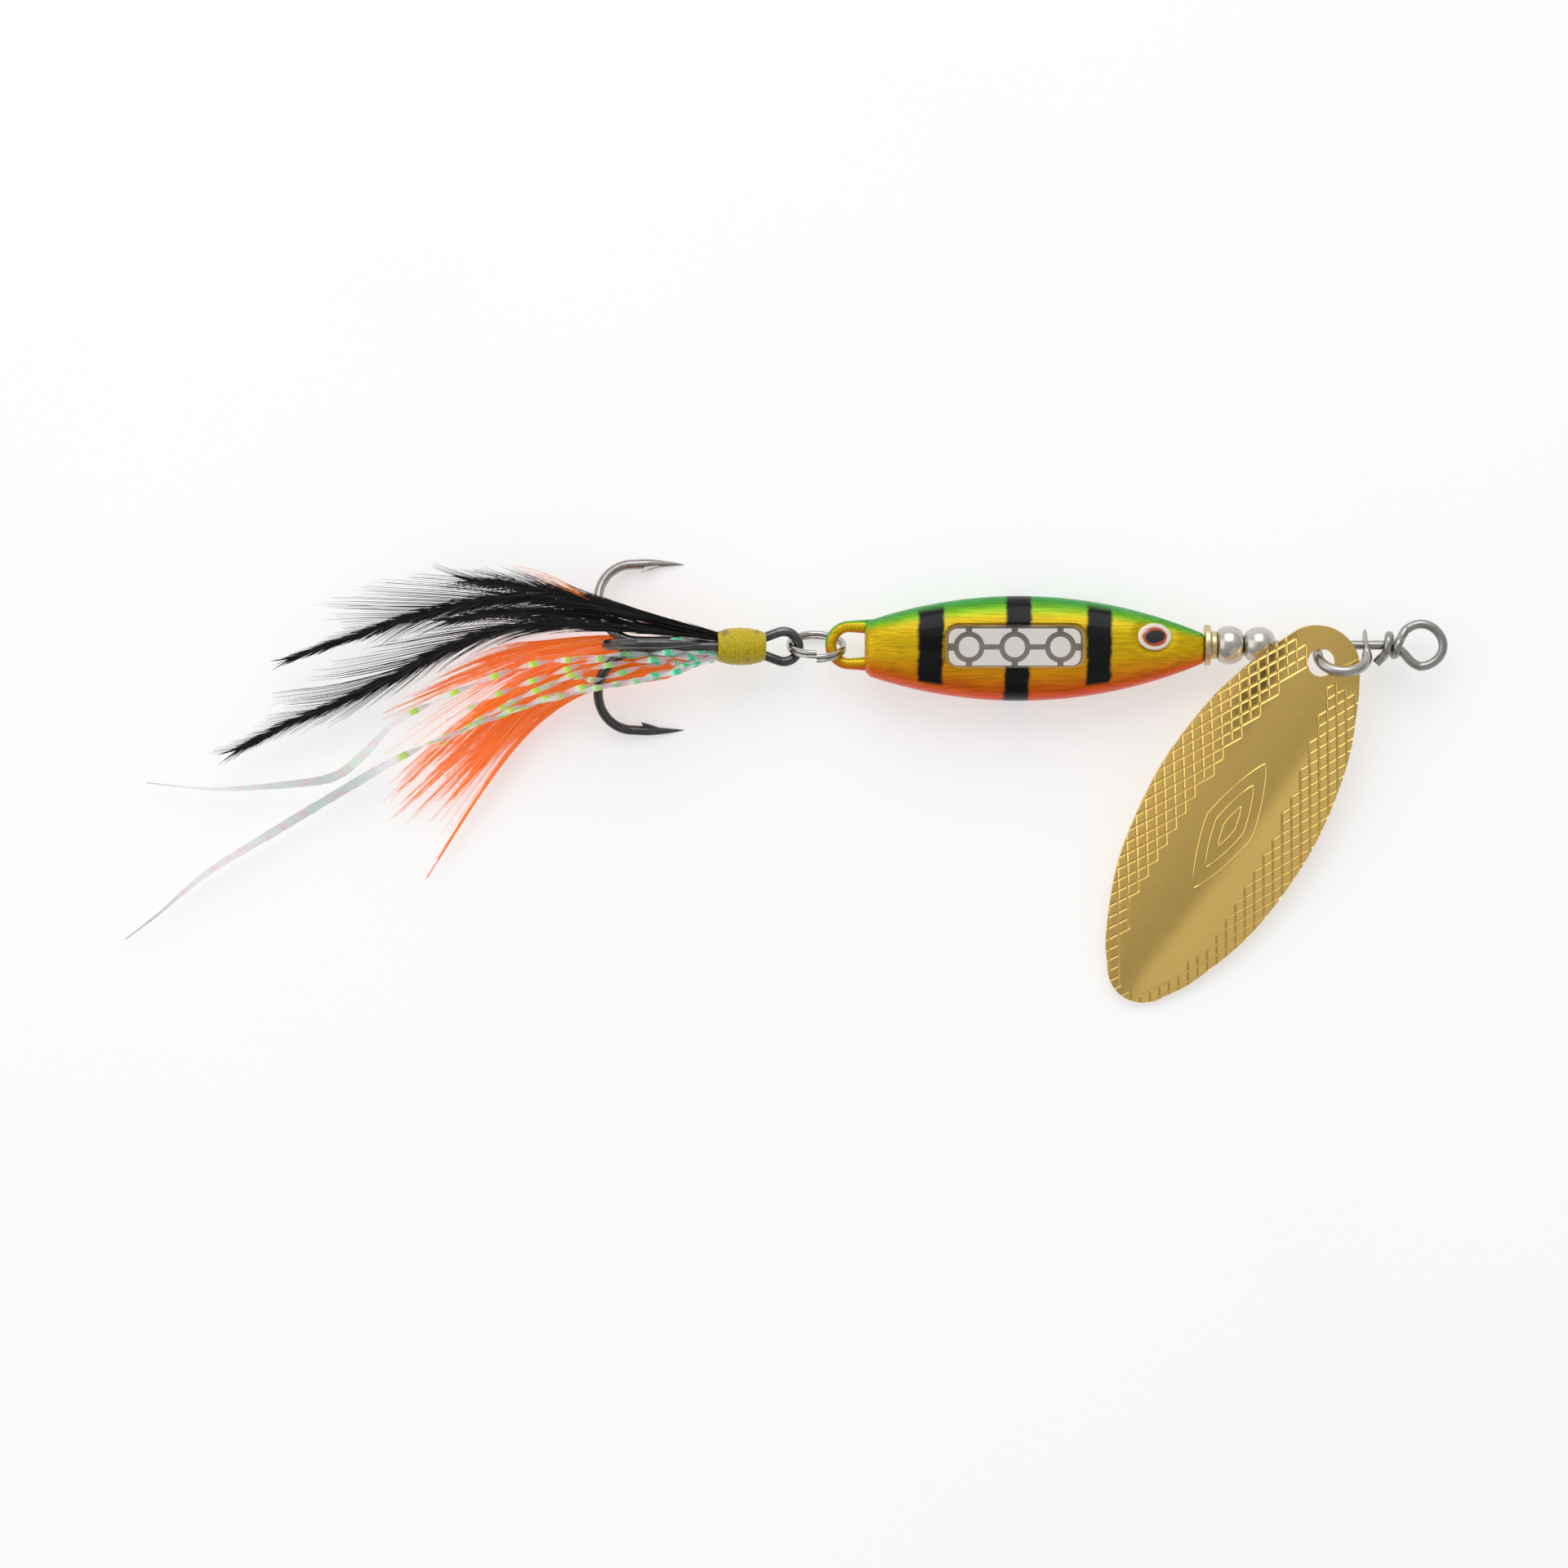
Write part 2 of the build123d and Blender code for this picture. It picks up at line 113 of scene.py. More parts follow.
def write_mesh(shape, obj, outward=True):
    """Write an edited mesh back, with its faces turned outward."""
    if outward:
        bmesh.ops.recalc_face_normals(shape, faces=shape.faces)
    shape.to_mesh(obj.data)
    shape.free()


def boolean(obj, tool, operation):
    """Apply one exact boolean and remove the tool."""
    modifier = obj.modifiers.new("cut", "BOOLEAN")
    modifier.object = tool
    modifier.operation = operation
    modifier.solver = "EXACT"
    graph = bpy.context.evaluated_depsgraph_get()
    result = bpy.data.meshes.new_from_object(obj.evaluated_get(graph))
    obj.modifiers.clear()
    obj.data = result
    bpy.data.objects.remove(tool)


def catmull(points, steps):
    """A smooth line through the points."""
    points = [Vector(p) for p in points]
    ends = [points[0] * 2 - points[1]] + points + [points[-1] * 2 - points[-2]]
    line = []
    for i in range(1, len(ends) - 2):
        a, b, c, d = ends[i - 1:i + 3]
        for k in range(steps):
            t = k / steps
            line.append(0.5 * ((2 * b) + (c - a) * t + (2 * a - 5 * b + 4 * c - d) * t ** 2
                               + (3 * b - a - 3 * c + d) * t ** 3))
    line.append(points[-1])
    return line


def circle(sides):
    """The angles of evenly spaced points around a ring."""
    return [2 * math.pi * k / sides for k in range(sides)]


def arc(first, last, step):
    """The cosine and sine of each angle, which are given in degrees."""
    turns = [math.radians(degrees) for degrees in range(first, last, step)]
    return [(math.cos(turn), math.sin(turn)) for turn in turns]


def on_axis(x):
    return Vector((x, 0, 0))


def ring_faces(rows, sides, closed=False, flipped=False):
    """Quads between neighbouring rings of vertices."""
    faces = []
    for i in range(rows if closed else rows - 1):
        n = (i + 1) % rows
        for k in range(sides):
            j = (k + 1) % sides
            a, b, c, d = i * sides + k, i * sides + j, n * sides + j, n * sides + k
            faces.append((a, d, c, b) if flipped else (a, b, c, d))
    return faces


def end_faces(rows, sides, flipped=False):
    """The two flat ends of a stack of rings."""
    first = tuple(range(sides))
    last = tuple(range((rows - 1) * sides, rows * sides))
    return [first, last[::-1]] if flipped else [first[::-1], last]


def tube_mesh(path, radii, sides, reference=None):
    """Vertices and faces of a tube. radii holds (in-plane, across) halves or one radius."""
    verts = []
    count = len(path)
    tangents = [(path[min(i + 1, count - 1)] - path[max(i - 1, 0)]).normalized() for i in range(count)]
    across = reference or tangents[0].orthogonal()
    for i, point in enumerate(path):
        across = (across - tangents[i] * across.dot(tangents[i])).normalized()
        if reference:
            across = (reference - tangents[i] * reference.dot(tangents[i])).normalized()
        inward = tangents[i].cross(across)
        size = radii[i] if isinstance(radii, list) else radii
        flat, wide = size if isinstance(size, tuple) else (size, size)
        for angle in circle(sides):
            verts.append(point + inward * flat * math.cos(angle) + across * wide * math.sin(angle))
    return verts, ring_faces(count, sides) + end_faces(count, sides)


def lathe_mesh(profile, sides, axis_start, axis_end):
    """A solid of revolution. profile holds (distance along the axis, radius)."""
    forward = (axis_end - axis_start).normalized()
    side = forward.orthogonal().normalized()
    up = forward.cross(side)
    verts = []
    for x, radius in profile:
        for angle in circle(sides):
            out = axis_start + forward * x + side * radius * math.cos(angle)
            verts.append(out + up * radius * math.sin(angle))
    return verts, ring_faces(len(profile), sides, closed=True, flipped=True)


def smoothstep(low, high, value):
    t = min(max((value - low) / (high - low), 0.0), 1.0)
    return t * t * (3 - 2 * t)


# ------------------------------------------------------------ material helpers


class Graph:
    """A small wrapper that builds a node tree node by node."""

    def __init__(self, tree):
        self.tree = tree

    def node(self, kind, inputs=None, **settings):
        made = self.tree.nodes.new("ShaderNode" + kind)
        for key, value in settings.items():
            setattr(made, key, value)
        for key, value in (inputs or {}).items():
            self.feed(made.inputs[key], value)
        return made

    def feed(self, socket, value):
        if isinstance(value, bpy.types.NodeSocket):
            self.tree.links.new(value, socket)
        else:
            socket.default_value = value

    def math(self, operation, first, second=0.0):
        made = self.node("Math", operation=operation)
        self.feed(made.inputs[0], first)
        self.feed(made.inputs[1], second)
        return made.outputs[0]

    def times(self, first, second):
        return self.math("MULTIPLY", first, second)

    def plus(self, first, second):
        return self.math("ADD", first, second)

    def around_zero(self, value, amount):
        """A value that lies about 0.5, moved to lie about zero and scaled."""
        return self.times(self.math("SUBTRACT", value, 0.5), amount)

    def span(self, value, low, high, to_low=0.0, to_high=1.0, kind="SMOOTHSTEP"):
        inputs = {"Value": value, "From Min": low, "From Max": high, "To Min": to_low, "To Max": to_high}
        return self.node("MapRange", inputs, interpolation_type=kind).outputs["Result"]


class Recipe(Graph):
    """One Principled material."""

    def __init__(self, name, color, roughness, metallic=0.0, **sockets):
        self.material = bpy.data.materials.new(name)
        self.material.use_nodes = True
        super().__init__(self.material.node_tree)
        self.shader = self.tree.nodes["Principled BSDF"]
        self.shader.inputs["Base Color"].default_value = (*color, 1)
        self.shader.inputs["Roughness"].default_value = roughness
        self.shader.inputs["Metallic"].default_value = metallic
        for key, value in sockets.items():
            self.shader.inputs[key.replace("_", " ")].default_value = value

    def place(self, scale=(1, 1, 1)):
        """Object coordinates in millimetres, stretched by scale."""
        coordinates = self.node("TexCoord").outputs["Object"]
        stretch = tuple(s / MM for s in scale)
        return self.node("Mapping", {"Vector": coordinates, "Scale": stretch}).outputs["Vector"]

    def noise(self, scale, detail=3.0, stretch=(1, 1, 1)):
        inputs = {"Vector": self.place(stretch), "Scale": scale, "Detail": detail}
        return self.node("TexNoise", inputs).outputs["Fac"]

    def mix(self, factor, first, second, blend="MIX"):
        made = self.node("MixRGB", blend_type=blend)
        self.feed(made.inputs["Fac"], factor)
        for socket, color in (("Color1", first), ("Color2", second)):
            self.feed(made.inputs[socket], (*color, 1) if isinstance(color, tuple) else color)
        return made.outputs["Color"]

    def ramp(self, factor, stops):
        made = self.node("ValToRGB", {"Fac": factor})
        band = made.color_ramp
        while len(band.elements) < len(stops):
            band.elements.new(0.5)
        for element, (position, color) in zip(band.elements, stops):
            element.position = position
            element.color = (*color, 1)
        return made.outputs["Color"]

    def attribute(self, name):
        return self.node("Attribute", attribute_name=name).outputs["Fac"]

    def set(self, socket, value):
        self.feed(self.shader.inputs[socket], value)

    def bump(self, height, distance, strength=1.0):
        inputs = {"Height": height, "Distance": distance * MM, "Strength": strength}
        self.set("Normal", self.node("Bump", inputs).outputs["Normal"])


def metal(name, color, roughness, grain=(1, 1, 1), spread=0.1, scratch=0.004, tint=0.06):
    """Worn metal: cloudy roughness, faint tone changes and fine scratches along the grain."""
    recipe = Recipe(name, color, roughness, 1.0)
    clouds = recipe.noise(1.3, 4.0)
    fine = recipe.noise(9.0, 3.0, grain)
    dark = tuple(c * (1 - tint * 2) for c in color)
    light = tuple(min(1, c * (1 + tint)) for c in color)
    recipe.set("Base Color", recipe.mix(clouds, dark, light))
    both = recipe.plus(recipe.times(clouds, 0.5), recipe.times(fine, 0.5))
    recipe.set("Roughness", recipe.span(both, 0.25, 0.75, roughness - spread / 2, roughness + spread / 2))
    recipe.bump(fine, scratch)
    return recipe.material


# Name, colour, roughness, grain, spread of roughness, scratch depth, change of tone
METALS = {
    "wire": ("drawn_steel", (0.36, 0.355, 0.34), 0.28, (0.08, 1, 1), 0.12, 0.006),
    "nickel": ("bright_nickel", (0.50, 0.49, 0.46), 0.16, (1, 1, 1), 0.08, 0.002),
    "clevis": ("satin_nickel", (0.44, 0.43, 0.41), 0.28, (1, 1, 1), 0.1, 0.004),
    "bead": ("satin_bead", (0.60, 0.575, 0.53), 0.27, (0.3, 1, 1), 0.1, 0.004),
    "brass": ("turned_brass", (0.66, 0.55, 0.33), 0.3, (1, 0.4, 0.4), 0.12, 0.005),
    "gold": ("gold_plate", (0.86, 0.58, 0.17), 0.17, (1, 1, 1), 0.07, 0.0015, 0.03),
    "grille": ("grille_metal", (0.36, 0.33, 0.30), 0.36, (1, 1, 1), 0.15, 0.006),
}


def make_materials():
    made = {key: metal(*values) for key, values in METALS.items()}
    made["hook"] = black_nickel()
    made["body"] = body_paint()
    made["eye"] = eye_enamel()
    made["thread"] = thread_varnish()
    made["black"] = fibre("black_hackle", (0.003, 0.003, 0.003), (0.006, 0.005, 0.005),
                          (0.022, 0.018, 0.017), 0.5)
    made["orange"] = fibre("orange_marabou", (0.95, 0.17, 0.006), (1.0, 0.25, 0.015),
                           (0.95, 0.56, 0.42), 0.55, 0.45)
    made["flash"] = pearl_film()
    made["floor"] = pale_floor()
    return made


def black_nickel():
    """Hook wire: dark plating, with a painted reflection that makes the hook facing the fish's back paler."""
    recipe = Recipe("black_nickel", (0.12, 0.12, 0.12), 0.2, 1.0)
    place = recipe.node("SeparateXYZ", {"Vector": recipe.place()}).outputs
    clouds = recipe.noise(1.2, 4.0)
    # Painted reflection: towards +Y, the fish's back, the hook is mixed towards a paler tone.
    painted_reflection_level = recipe.plus(place["Y"], recipe.times(clouds, 1.5))
    dark = recipe.mix(clouds, (0.06, 0.06, 0.062), (0.13, 0.128, 0.125))
    # The paler tone of the painted reflection.
    pale = recipe.mix(clouds, (0.24, 0.23, 0.22), (0.42, 0.40, 0.38))
    recipe.set("Base Color", recipe.mix(recipe.span(painted_reflection_level, 1.2, 4.5), dark, pale))
    fine = recipe.noise(9.0, 3.0, (0.15, 1, 1))
    recipe.set("Roughness", recipe.span(fine, 0.25, 0.75, 0.16, 0.30))
    recipe.bump(fine, 0.004)
    return recipe.material


PRINT_RATE = 18.5
BAR_HALF_WIDTH = (1.02, 1.42)
# Each black bar: its middle along the body, and where its foot ends
BARS = ((-48.1, -0.86), (-39.6, -2.0), (-31.7, -0.84))


def body_paint():
    """Foil under lacquer: green back to orange belly, black bars, woven scale print."""
    recipe = Recipe("body_lacquer", (0.7, 0.6, 0.05), 0.28, 0.35, Coat_Weight=0.16, Coat_Roughness=0.04,
                    Specular_IOR_Level=0.12)
    height = recipe.attribute("height")
    wobble = recipe.around_zero(recipe.noise(0.25, 3.0, (0.4, 1, 1)), 0.14)
    level = recipe.times(recipe.plus(recipe.plus(height, wobble), 1.0), 0.5)
    base = recipe.ramp(level, [
        (0.03, (0.86, 0.07, 0.007)), (0.12, (0.80, 0.14, 0.002)), (0.23, (0.78, 0.27, 0.001)),
        (0.38, (0.68, 0.36, 0.001)), (0.52, (0.67, 0.42, 0.001)), (0.78, (0.60, 0.41, 0.002)),
        (0.88, (0.17, 0.44, 0.012)), (0.96, (0.02, 0.30, 0.05))])
    # Woven scale print: dots in rows along and around the body
    place = recipe.node("SeparateXYZ", {"Vector": recipe.place()}).outputs
    stir = recipe.times(recipe.noise(0.8, 2.0), 3.0)
    columns = recipe.math("SINE", recipe.plus(recipe.times(place["X"], PRINT_RATE), stir))
    rows = recipe.math("SINE", recipe.plus(recipe.times(recipe.attribute("around"), PRINT_RATE), stir))
    cells = recipe.span(recipe.times(columns, rows), -0.9, 0.9)
    streak = recipe.noise(3.0, 4.0, (0.12, 2.2, 1))
    base = recipe.mix(recipe.span(cells, 0.15, 0.9, 0.0, 0.5), base, (0.92, 0.90, 0.25), "OVERLAY")
    base = recipe.mix(recipe.span(streak, 0.35, 0.7, 0.0, 0.45), base, (0.35, 0.18, 0.0), "MULTIPLY")
    # Black bars with soft, slightly ragged edges
    ragged = recipe.around_zero(recipe.noise(1.1, 2.0), 0.5)
    along = recipe.plus(recipe.plus(place["X"], ragged), recipe.times(place["Y"], -0.03))
    bars = 0.0
    for centre, foot in BARS:
        reach = recipe.math("ABSOLUTE", recipe.math("SUBTRACT", along, centre))
        bar = recipe.span(reach, *BAR_HALF_WIDTH, 1.0, 0.0)
        if foot > -1:
            bar = recipe.times(bar, recipe.span(height, foot, foot + 0.1))
            bar = recipe.times(bar, recipe.span(height, 0.80, 0.98, 1.0, 0.0))
        bars = recipe.plus(bars, bar)
    bars = recipe.math("MINIMUM", bars, 1.0)
    recipe.set("Base Color", recipe.mix(bars, base, (0.003, 0.003, 0.003)))
    recipe.set("Metallic", recipe.span(bars, 0.0, 1.0, 0.40, 0.0))
    recipe.set("Roughness", recipe.span(cells, 0.0, 1.0, 0.24, 0.40))
    recipe.bump(cells, 0.012)
    return recipe.material


def eye_enamel():
    """White rim, red iris and black pupil under a clear dome."""
    recipe = Recipe("eye_enamel", (0.9, 0.9, 0.85), 0.2, 0.0, Coat_Weight=0.55, Coat_Roughness=0.03)
    ring = recipe.attribute("ring")
    pupil = recipe.attribute("pupil")
    fleck = recipe.around_zero(recipe.noise(2.2), 0.10)
    color = recipe.ramp(recipe.plus(ring, fleck), [
        (0.0, (0.34, 0.03, 0.01)), (0.55, (0.46, 0.055, 0.02)), (0.68, (0.60, 0.11, 0.05)),
        (0.73, (0.80, 0.75, 0.64)), (0.93, (0.82, 0.78, 0.66)), (0.99, (0.60, 0.16, 0.06))])
    dark = recipe.span(recipe.plus(pupil, recipe.times(fleck, 0.4)), 0.92, 1.04, 1.0, 0.0)
    recipe.set("Base Color", recipe.mix(dark, color, (0.004, 0.003, 0.003)))
    recipe.set("Roughness", recipe.span(recipe.noise(6.0), 0.3, 0.7, 0.12, 0.22))
    recipe.bump(recipe.noise(12.0), 0.002)
    return recipe.material


def thread_varnish():
    """Yellow thread under uneven varnish, with one grey-brown streak."""
    recipe = Recipe("varnished_thread", (0.6, 0.5, 0.05), 0.35, 0.0, Coat_Weight=0.3, Coat_Roughness=0.1,
                    Specular_IOR_Level=0.2)
    fibres = recipe.noise(7.0, 4.0, (3.0, 0.5, 0.5))
    stain = recipe.noise(0.75, 3.0, (1.0, 0.6, 0.6))
    base = recipe.mix(recipe.span(fibres, 0.3, 0.7), (0.42, 0.31, 0.004), (0.70, 0.55, 0.016))
    base = recipe.mix(recipe.span(stain, 0.56, 0.70, 0.0, 0.75), base, (0.20, 0.16, 0.08))
    recipe.set("Base Color", base)
    recipe.set("Roughness", recipe.span(stain, 0.3, 0.7, 0.28, 0.5))
    recipe.bump(fibres, 0.02)
    return recipe.material


def fibre(name, root, middle, tip, roughness, clear=0.0):
    """Feather fibres: a tone for each one, paler and thinner towards its tip; see-through ones also get a
    faint painted glow.
    """
    recipe = Recipe(name, root, roughness, 0.0, Specular_IOR_Level=0.25)
    along = recipe.attribute("along")
    tone = recipe.attribute("tone")
    shade = recipe.ramp(tone, [(0.0, root), (0.45, middle), (0.78, middle), (0.88, tip)])
    color = recipe.mix(recipe.span(along, 0.5, 1.0, 0.0, 0.12), shade, tip)
    mottle = recipe.span(recipe.noise(1.6, 3.0), 0.35, 0.75, 0.0, 0.25)
    recipe.set("Base Color", recipe.mix(mottle, color, root))
    recipe.set("Roughness", recipe.span(recipe.noise(4.0), 0.3, 0.7, roughness - 0.08, roughness + 0.1))
    if clear:
        recipe.set("Alpha", recipe.span(tone, 0.8, 0.9, 1.0, 1.0 - clear))
        # Painted light: see-through fibres glow faintly in their own shade colour, brighter than the lamps
        # alone make them.
        recipe.feed(recipe.shader.inputs["Emission Color"], shade)
        recipe.shader.inputs["Emission Strength"].default_value = 0.14
    return recipe.material


def pearl_film():
    """Twisted pearl film: lilac and clear, with a green-gold painted glint on every flat turn."""
    recipe = Recipe("pearl_film", (0.85, 0.80, 0.82), 0.2, 0.0, Coat_Weight=0.4, Coat_Roughness=0.08)
    along = recipe.attribute("along")
    tail = recipe.attribute("tail")
    place = recipe.node("SeparateXYZ", {"Vector": recipe.place()}).outputs
    cells = recipe.noise(0.9, 2.0)
    # Painted glint: near each flat turn of the twist the film turns green-gold, more metallic and opaque.
    phase = recipe.math("ABSOLUTE", recipe.math("SUBTRACT", recipe.math("FRACT", along), 0.5))
    painted_glint = recipe.times(recipe.span(phase, 0.34, 0.44), recipe.span(cells, 0.36, 0.50))
    painted_glint = recipe.times(painted_glint, recipe.span(tail, 0.0, 0.8, 1.0, 0.12))
    glint_color = recipe.mix(recipe.span(place["X"], -84.0, -73.0), (0.62, 0.85, 0.10), (0.06, 0.72, 0.36))
    sheen = recipe.ramp(cells, [(0.25, (0.88, 0.66, 0.70)), (0.45, (0.90, 0.80, 0.84)),
                                (0.55, (0.72, 0.90, 0.88)), (0.68, (0.92, 0.70, 0.74))])
    recipe.set("Base Color", recipe.mix(painted_glint, sheen, glint_color))
    recipe.set("Metallic", recipe.span(painted_glint, 0.0, 1.0, 0.0, 0.25))
    recipe.set("Roughness", recipe.span(cells, 0.3, 0.7, 0.14, 0.30))
    clear = recipe.plus(recipe.span(tail, 0.0, 1.0, 0.34, 0.62), recipe.times(cells, 0.2))
    recipe.set("Alpha", recipe.mix(painted_glint, clear, (1.0, 1.0, 1.0)))
    recipe.bump(recipe.noise(3.0), 0.015)
    return recipe.material


def pale_floor():
    """A pale back-lit table: some of its light comes from below, so holes read bright."""
    recipe = Recipe("pale_floor", (0.55, 0.55, 0.55), 0.8, 0.0, Specular_IOR_Level=0.1)
    recipe.set("Base Color", recipe.mix(recipe.noise(0.02, 2.0), (0.54, 0.54, 0.54), (0.56, 0.56, 0.56)))
    recipe.shader.inputs["Emission Color"].default_value = (1, 1, 1, 1)
    recipe.shader.inputs["Emission Strength"].default_value = 0.50
    recipe.bump(recipe.noise(1.5), 0.01, 0.3)
    return recipe.material


# ------------------------------------------------------------------- the pieces

WIRE = 0.45
EYE_BEND = 2.1
WRAP = 0.93
WRAP_PITCH = 0.95


def make_wire_shaft(material):
    """Shaft, line eye, two wraps and a cut tag, drawn as one length of wire."""
    anchor = corners("wire_shaft")[0].x
    points = [(anchor, 0, 0), (-20, 0, 0), (-10, 0, 0), (-6, 0, 0), (-4.4, 0, 0), (-3.2, 0, -0.05),
              (-2.4, -0.22, -0.08), (-1.65, -0.85, -0.05), (-0.95, -1.62, 0)]
    for degrees in range(-96, 141, 13):
        angle = math.radians(degrees)
        bulge = EYE_BEND + 0.10 * max(0.0, math.cos(2 * angle + 0.2)) - 0.04
        points.append((bulge * math.cos(angle), bulge * math.sin(angle), 0))
    points += [(-1.98, 0.72, 0.30), (-2.22, 0.30, 0.78)]
    for degrees in range(95, 511, 20):
        angle = math.radians(degrees)
        x = -2.40 - WRAP_PITCH * (degrees - 95) / 360
        points.append((x, WRAP * math.cos(angle), WRAP * math.sin(angle)))
    x = points[-1][0]
    points += [(x - 0.28, -1.12, 0.10), (x - 0.62, -1.45, -0.05), (x - 0.95, -1.80, -0.10)]
    path = catmull(points, 6)
    obj = new_object("wire_shaft_drawn", *tube_mesh(path, WIRE, 20))
    finish_piece(obj, "casting", ["wire_shaft"], material)


CLEVIS_TILT = math.radians(50)
CLEVIS_OUT = Vector((0, -math.cos(CLEVIS_TILT), math.sin(CLEVIS_TILT)))
CLEVIS_WIRE = 0.52
EAR_WIDE = 1.15
EAR_THIN = 0.25
EAR_HOLE = 0.55


def make_clevis(material):
    """A U of round wire whose ends are hammered into drilled, rounded ears."""
    low, high = corners("clevis")
    middle = (low.x + high.x) / 2
    bend = 2.4
    depth = 4.1
    points = [(-bend, -2.05), (-bend, -1.2), (-bend, 0.0), (-bend, 1.0), (-bend, depth - bend)]
    points += [(bend * c, depth - bend + bend * s) for c, s in arc(165, 0, -15)]
    points += [(bend, depth - bend), (bend, 1.0), (bend, 0.0), (bend, -1.2), (bend, -2.05)]
    path = catmull([on_axis(middle + x) + CLEVIS_OUT * r for x, r in points], 8)
    reference = CLEVIS_OUT.cross(on_axis(1))
    halves = []
    for point in path:
        reach = (point - on_axis(middle)).dot(CLEVIS_OUT)
        flatten = smoothstep(1.7, 0.7, reach)
        end = smoothstep(-2.1, -0.9, reach)
        wide = CLEVIS_WIRE + (EAR_WIDE - CLEVIS_WIRE) * flatten
        thin = CLEVIS_WIRE + (EAR_THIN - CLEVIS_WIRE) * flatten
        halves.append((thin * (0.55 + 0.45 * end), wide * max(0.12, math.sqrt(end)) if reach < 0 else wide))
    obj = new_object("clevis_forged", *tube_mesh(path, halves, 24, reference))
    for side in (-1, 1):
        x = middle + side * bend
        profile = [(0, 0.001), (0, EAR_HOLE), (1.6, EAR_HOLE), (1.6, 0.001)]
        drill = new_object("drill", *lathe_mesh(profile, 32, on_axis(x - 0.8), on_axis(x + 0.8)))
        boolean(obj, drill, "DIFFERENCE")
    finish_piece(obj, "clevis", ["clevis"], material)


def rounded_profile(length, radius_at, bore, edge):
    """Outer profile of a drilled turned piece, with its bore closed on itself."""
    steps = 24
    outer = [(length * i / steps, radius_at(length * i / steps)) for i in range(steps + 1)]
    mouth = bore + edge
    return [(0, mouth)] + outer + [(length, mouth), (length - edge, bore), (edge, bore)]


# Each bead: its node, the middle of its ball along the shaft, and the ball's radius
BEADS = (("bead_front", -15.88, 1.8), ("bead_rear", -18.8, 1.88))


def make_beads(materials):
    for node, centre, radius in BEADS:
        low, high = corners(node)
        length = high.x - low.x

        def radius_at(x, low=low, centre=centre, radius=radius, length=length):
            ball = math.sqrt(max(radius ** 2 - (low.x + x - centre) ** 2, 0.01))
            near_end = min(x, length - x)
            return ball - 0.14 * (1 - smoothstep(0, 0.16, near_end))

        profile = rounded_profile(length, radius_at, 0.5, 0.1)
        obj = new_object(node + "_turned", *lathe_mesh(profile, 48, on_axis(low.x), on_axis(high.x)))
        finish_piece(obj, node, [node], materials["bead"])


# Blade: the plane that touches its crown, and its curved sheet

BLADE_HEADING = math.radians(241.2)
BLADE_THICKNESS = 0.6
BLADE_LENGTH_RADIUS = 110.0
BLADE_WIDTH_RADIUS = 24.0
BLADE_CROWN = 17.2
BLADE_DROP = 0.113
BLADE_LEAN = 0.12
BLADE_HOLE_RADIUS = 1.35
BLADE_SIDE = [(-1.6, 3.58), (2.0, 5.36), (8.0, 7.49), (16.6, 8.6), (26.0, 7.68), (33.2, 5.1), (36.4, 3.1)]
BLADE_HEEL = (0.82, 4.32)
BLADE_TIP = (34.63, 3.57)
GROOVE_PITCH = 0.95
GROOVE_HALF = 0.10
GROOVE_DEPTH = 0.085
GROOVE_OFFSETS = (-0.17, -GROOVE_HALF, 0.0, GROOVE_HALF, 0.17, GROOVE_PITCH / 2)
GROOVE_ANGLE = math.radians(31.5)


def blade_frame():
    hinge = next(j for j in frame["record"]["behaviour"]["joints"] if j["name"] == "blade_swing")
    hole = Vector(hinge["pos_m"]) / MM
    forward = Vector((math.cos(BLADE_HEADING), math.sin(BLADE_HEADING), 0))
    side = Vector((forward.y, -forward.x, 0))
    slope = side * BLADE_LEAN - forward * BLADE_DROP
    normal = Vector((-slope.x, -slope.y, 1)).normalized()
    forward = (forward - normal * forward.dot(normal)).normalized()
    sag = BLADE_LENGTH_RADIUS - math.sqrt(BLADE_LENGTH_RADIUS ** 2 - BLADE_CROWN ** 2)
    origin = hole + normal * (sag + BLADE_THICKNESS / 2)
    return origin, forward, normal.cross(forward), normal


BLADE_ORIGIN, BLADE_X, BLADE_Y, BLADE_N = blade_frame()


def blade_point(x, y, lift):
    """A point on the blade's bent sheet, lift above its outer face."""
    rise = math.sqrt(BLADE_WIDTH_RADIUS ** 2 - y ** 2) - BLADE_WIDTH_RADIUS
    reach = BLADE_LENGTH_RADIUS + rise
    z = math.sqrt(reach ** 2 - (x - BLADE_CROWN) ** 2) - BLADE_LENGTH_RADIUS
    return BLADE_ORIGIN + BLADE_X * x + BLADE_Y * y + BLADE_N * (z + lift)


def blade_half_width(x):
    line = BLADE_EDGE
    for a, b in zip(line, line[1:]):
        if a.x <= x <= b.x:
            share = (x - a.x) / max(b.x - a.x, 1e-6)
            return a.y + (b.y - a.y) * share
    return 0.0


def blade_edge():
    """One side of the outline from heel to tip: an arc, the side curve, an arc."""
    line = []
    centre, radius = BLADE_HEEL
    limit = math.atan2(BLADE_SIDE[0][1], centre - BLADE_SIDE[0][0])
    for k in range(12):
        angle = limit * k / 12
        line.append(Vector((centre - radius * math.cos(angle), radius * math.sin(angle), 0)))
    line += catmull([(x, y, 0) for x, y in BLADE_SIDE], 8)
    centre, radius = BLADE_TIP
    limit = math.atan2(BLADE_SIDE[-1][1], BLADE_SIDE[-1][0] - centre)
    for k in range(1, 13):
        angle = limit * (1 - k / 12)
        line.append(Vector((centre + radius * math.cos(angle), radius * math.sin(angle), 0)))
    return line


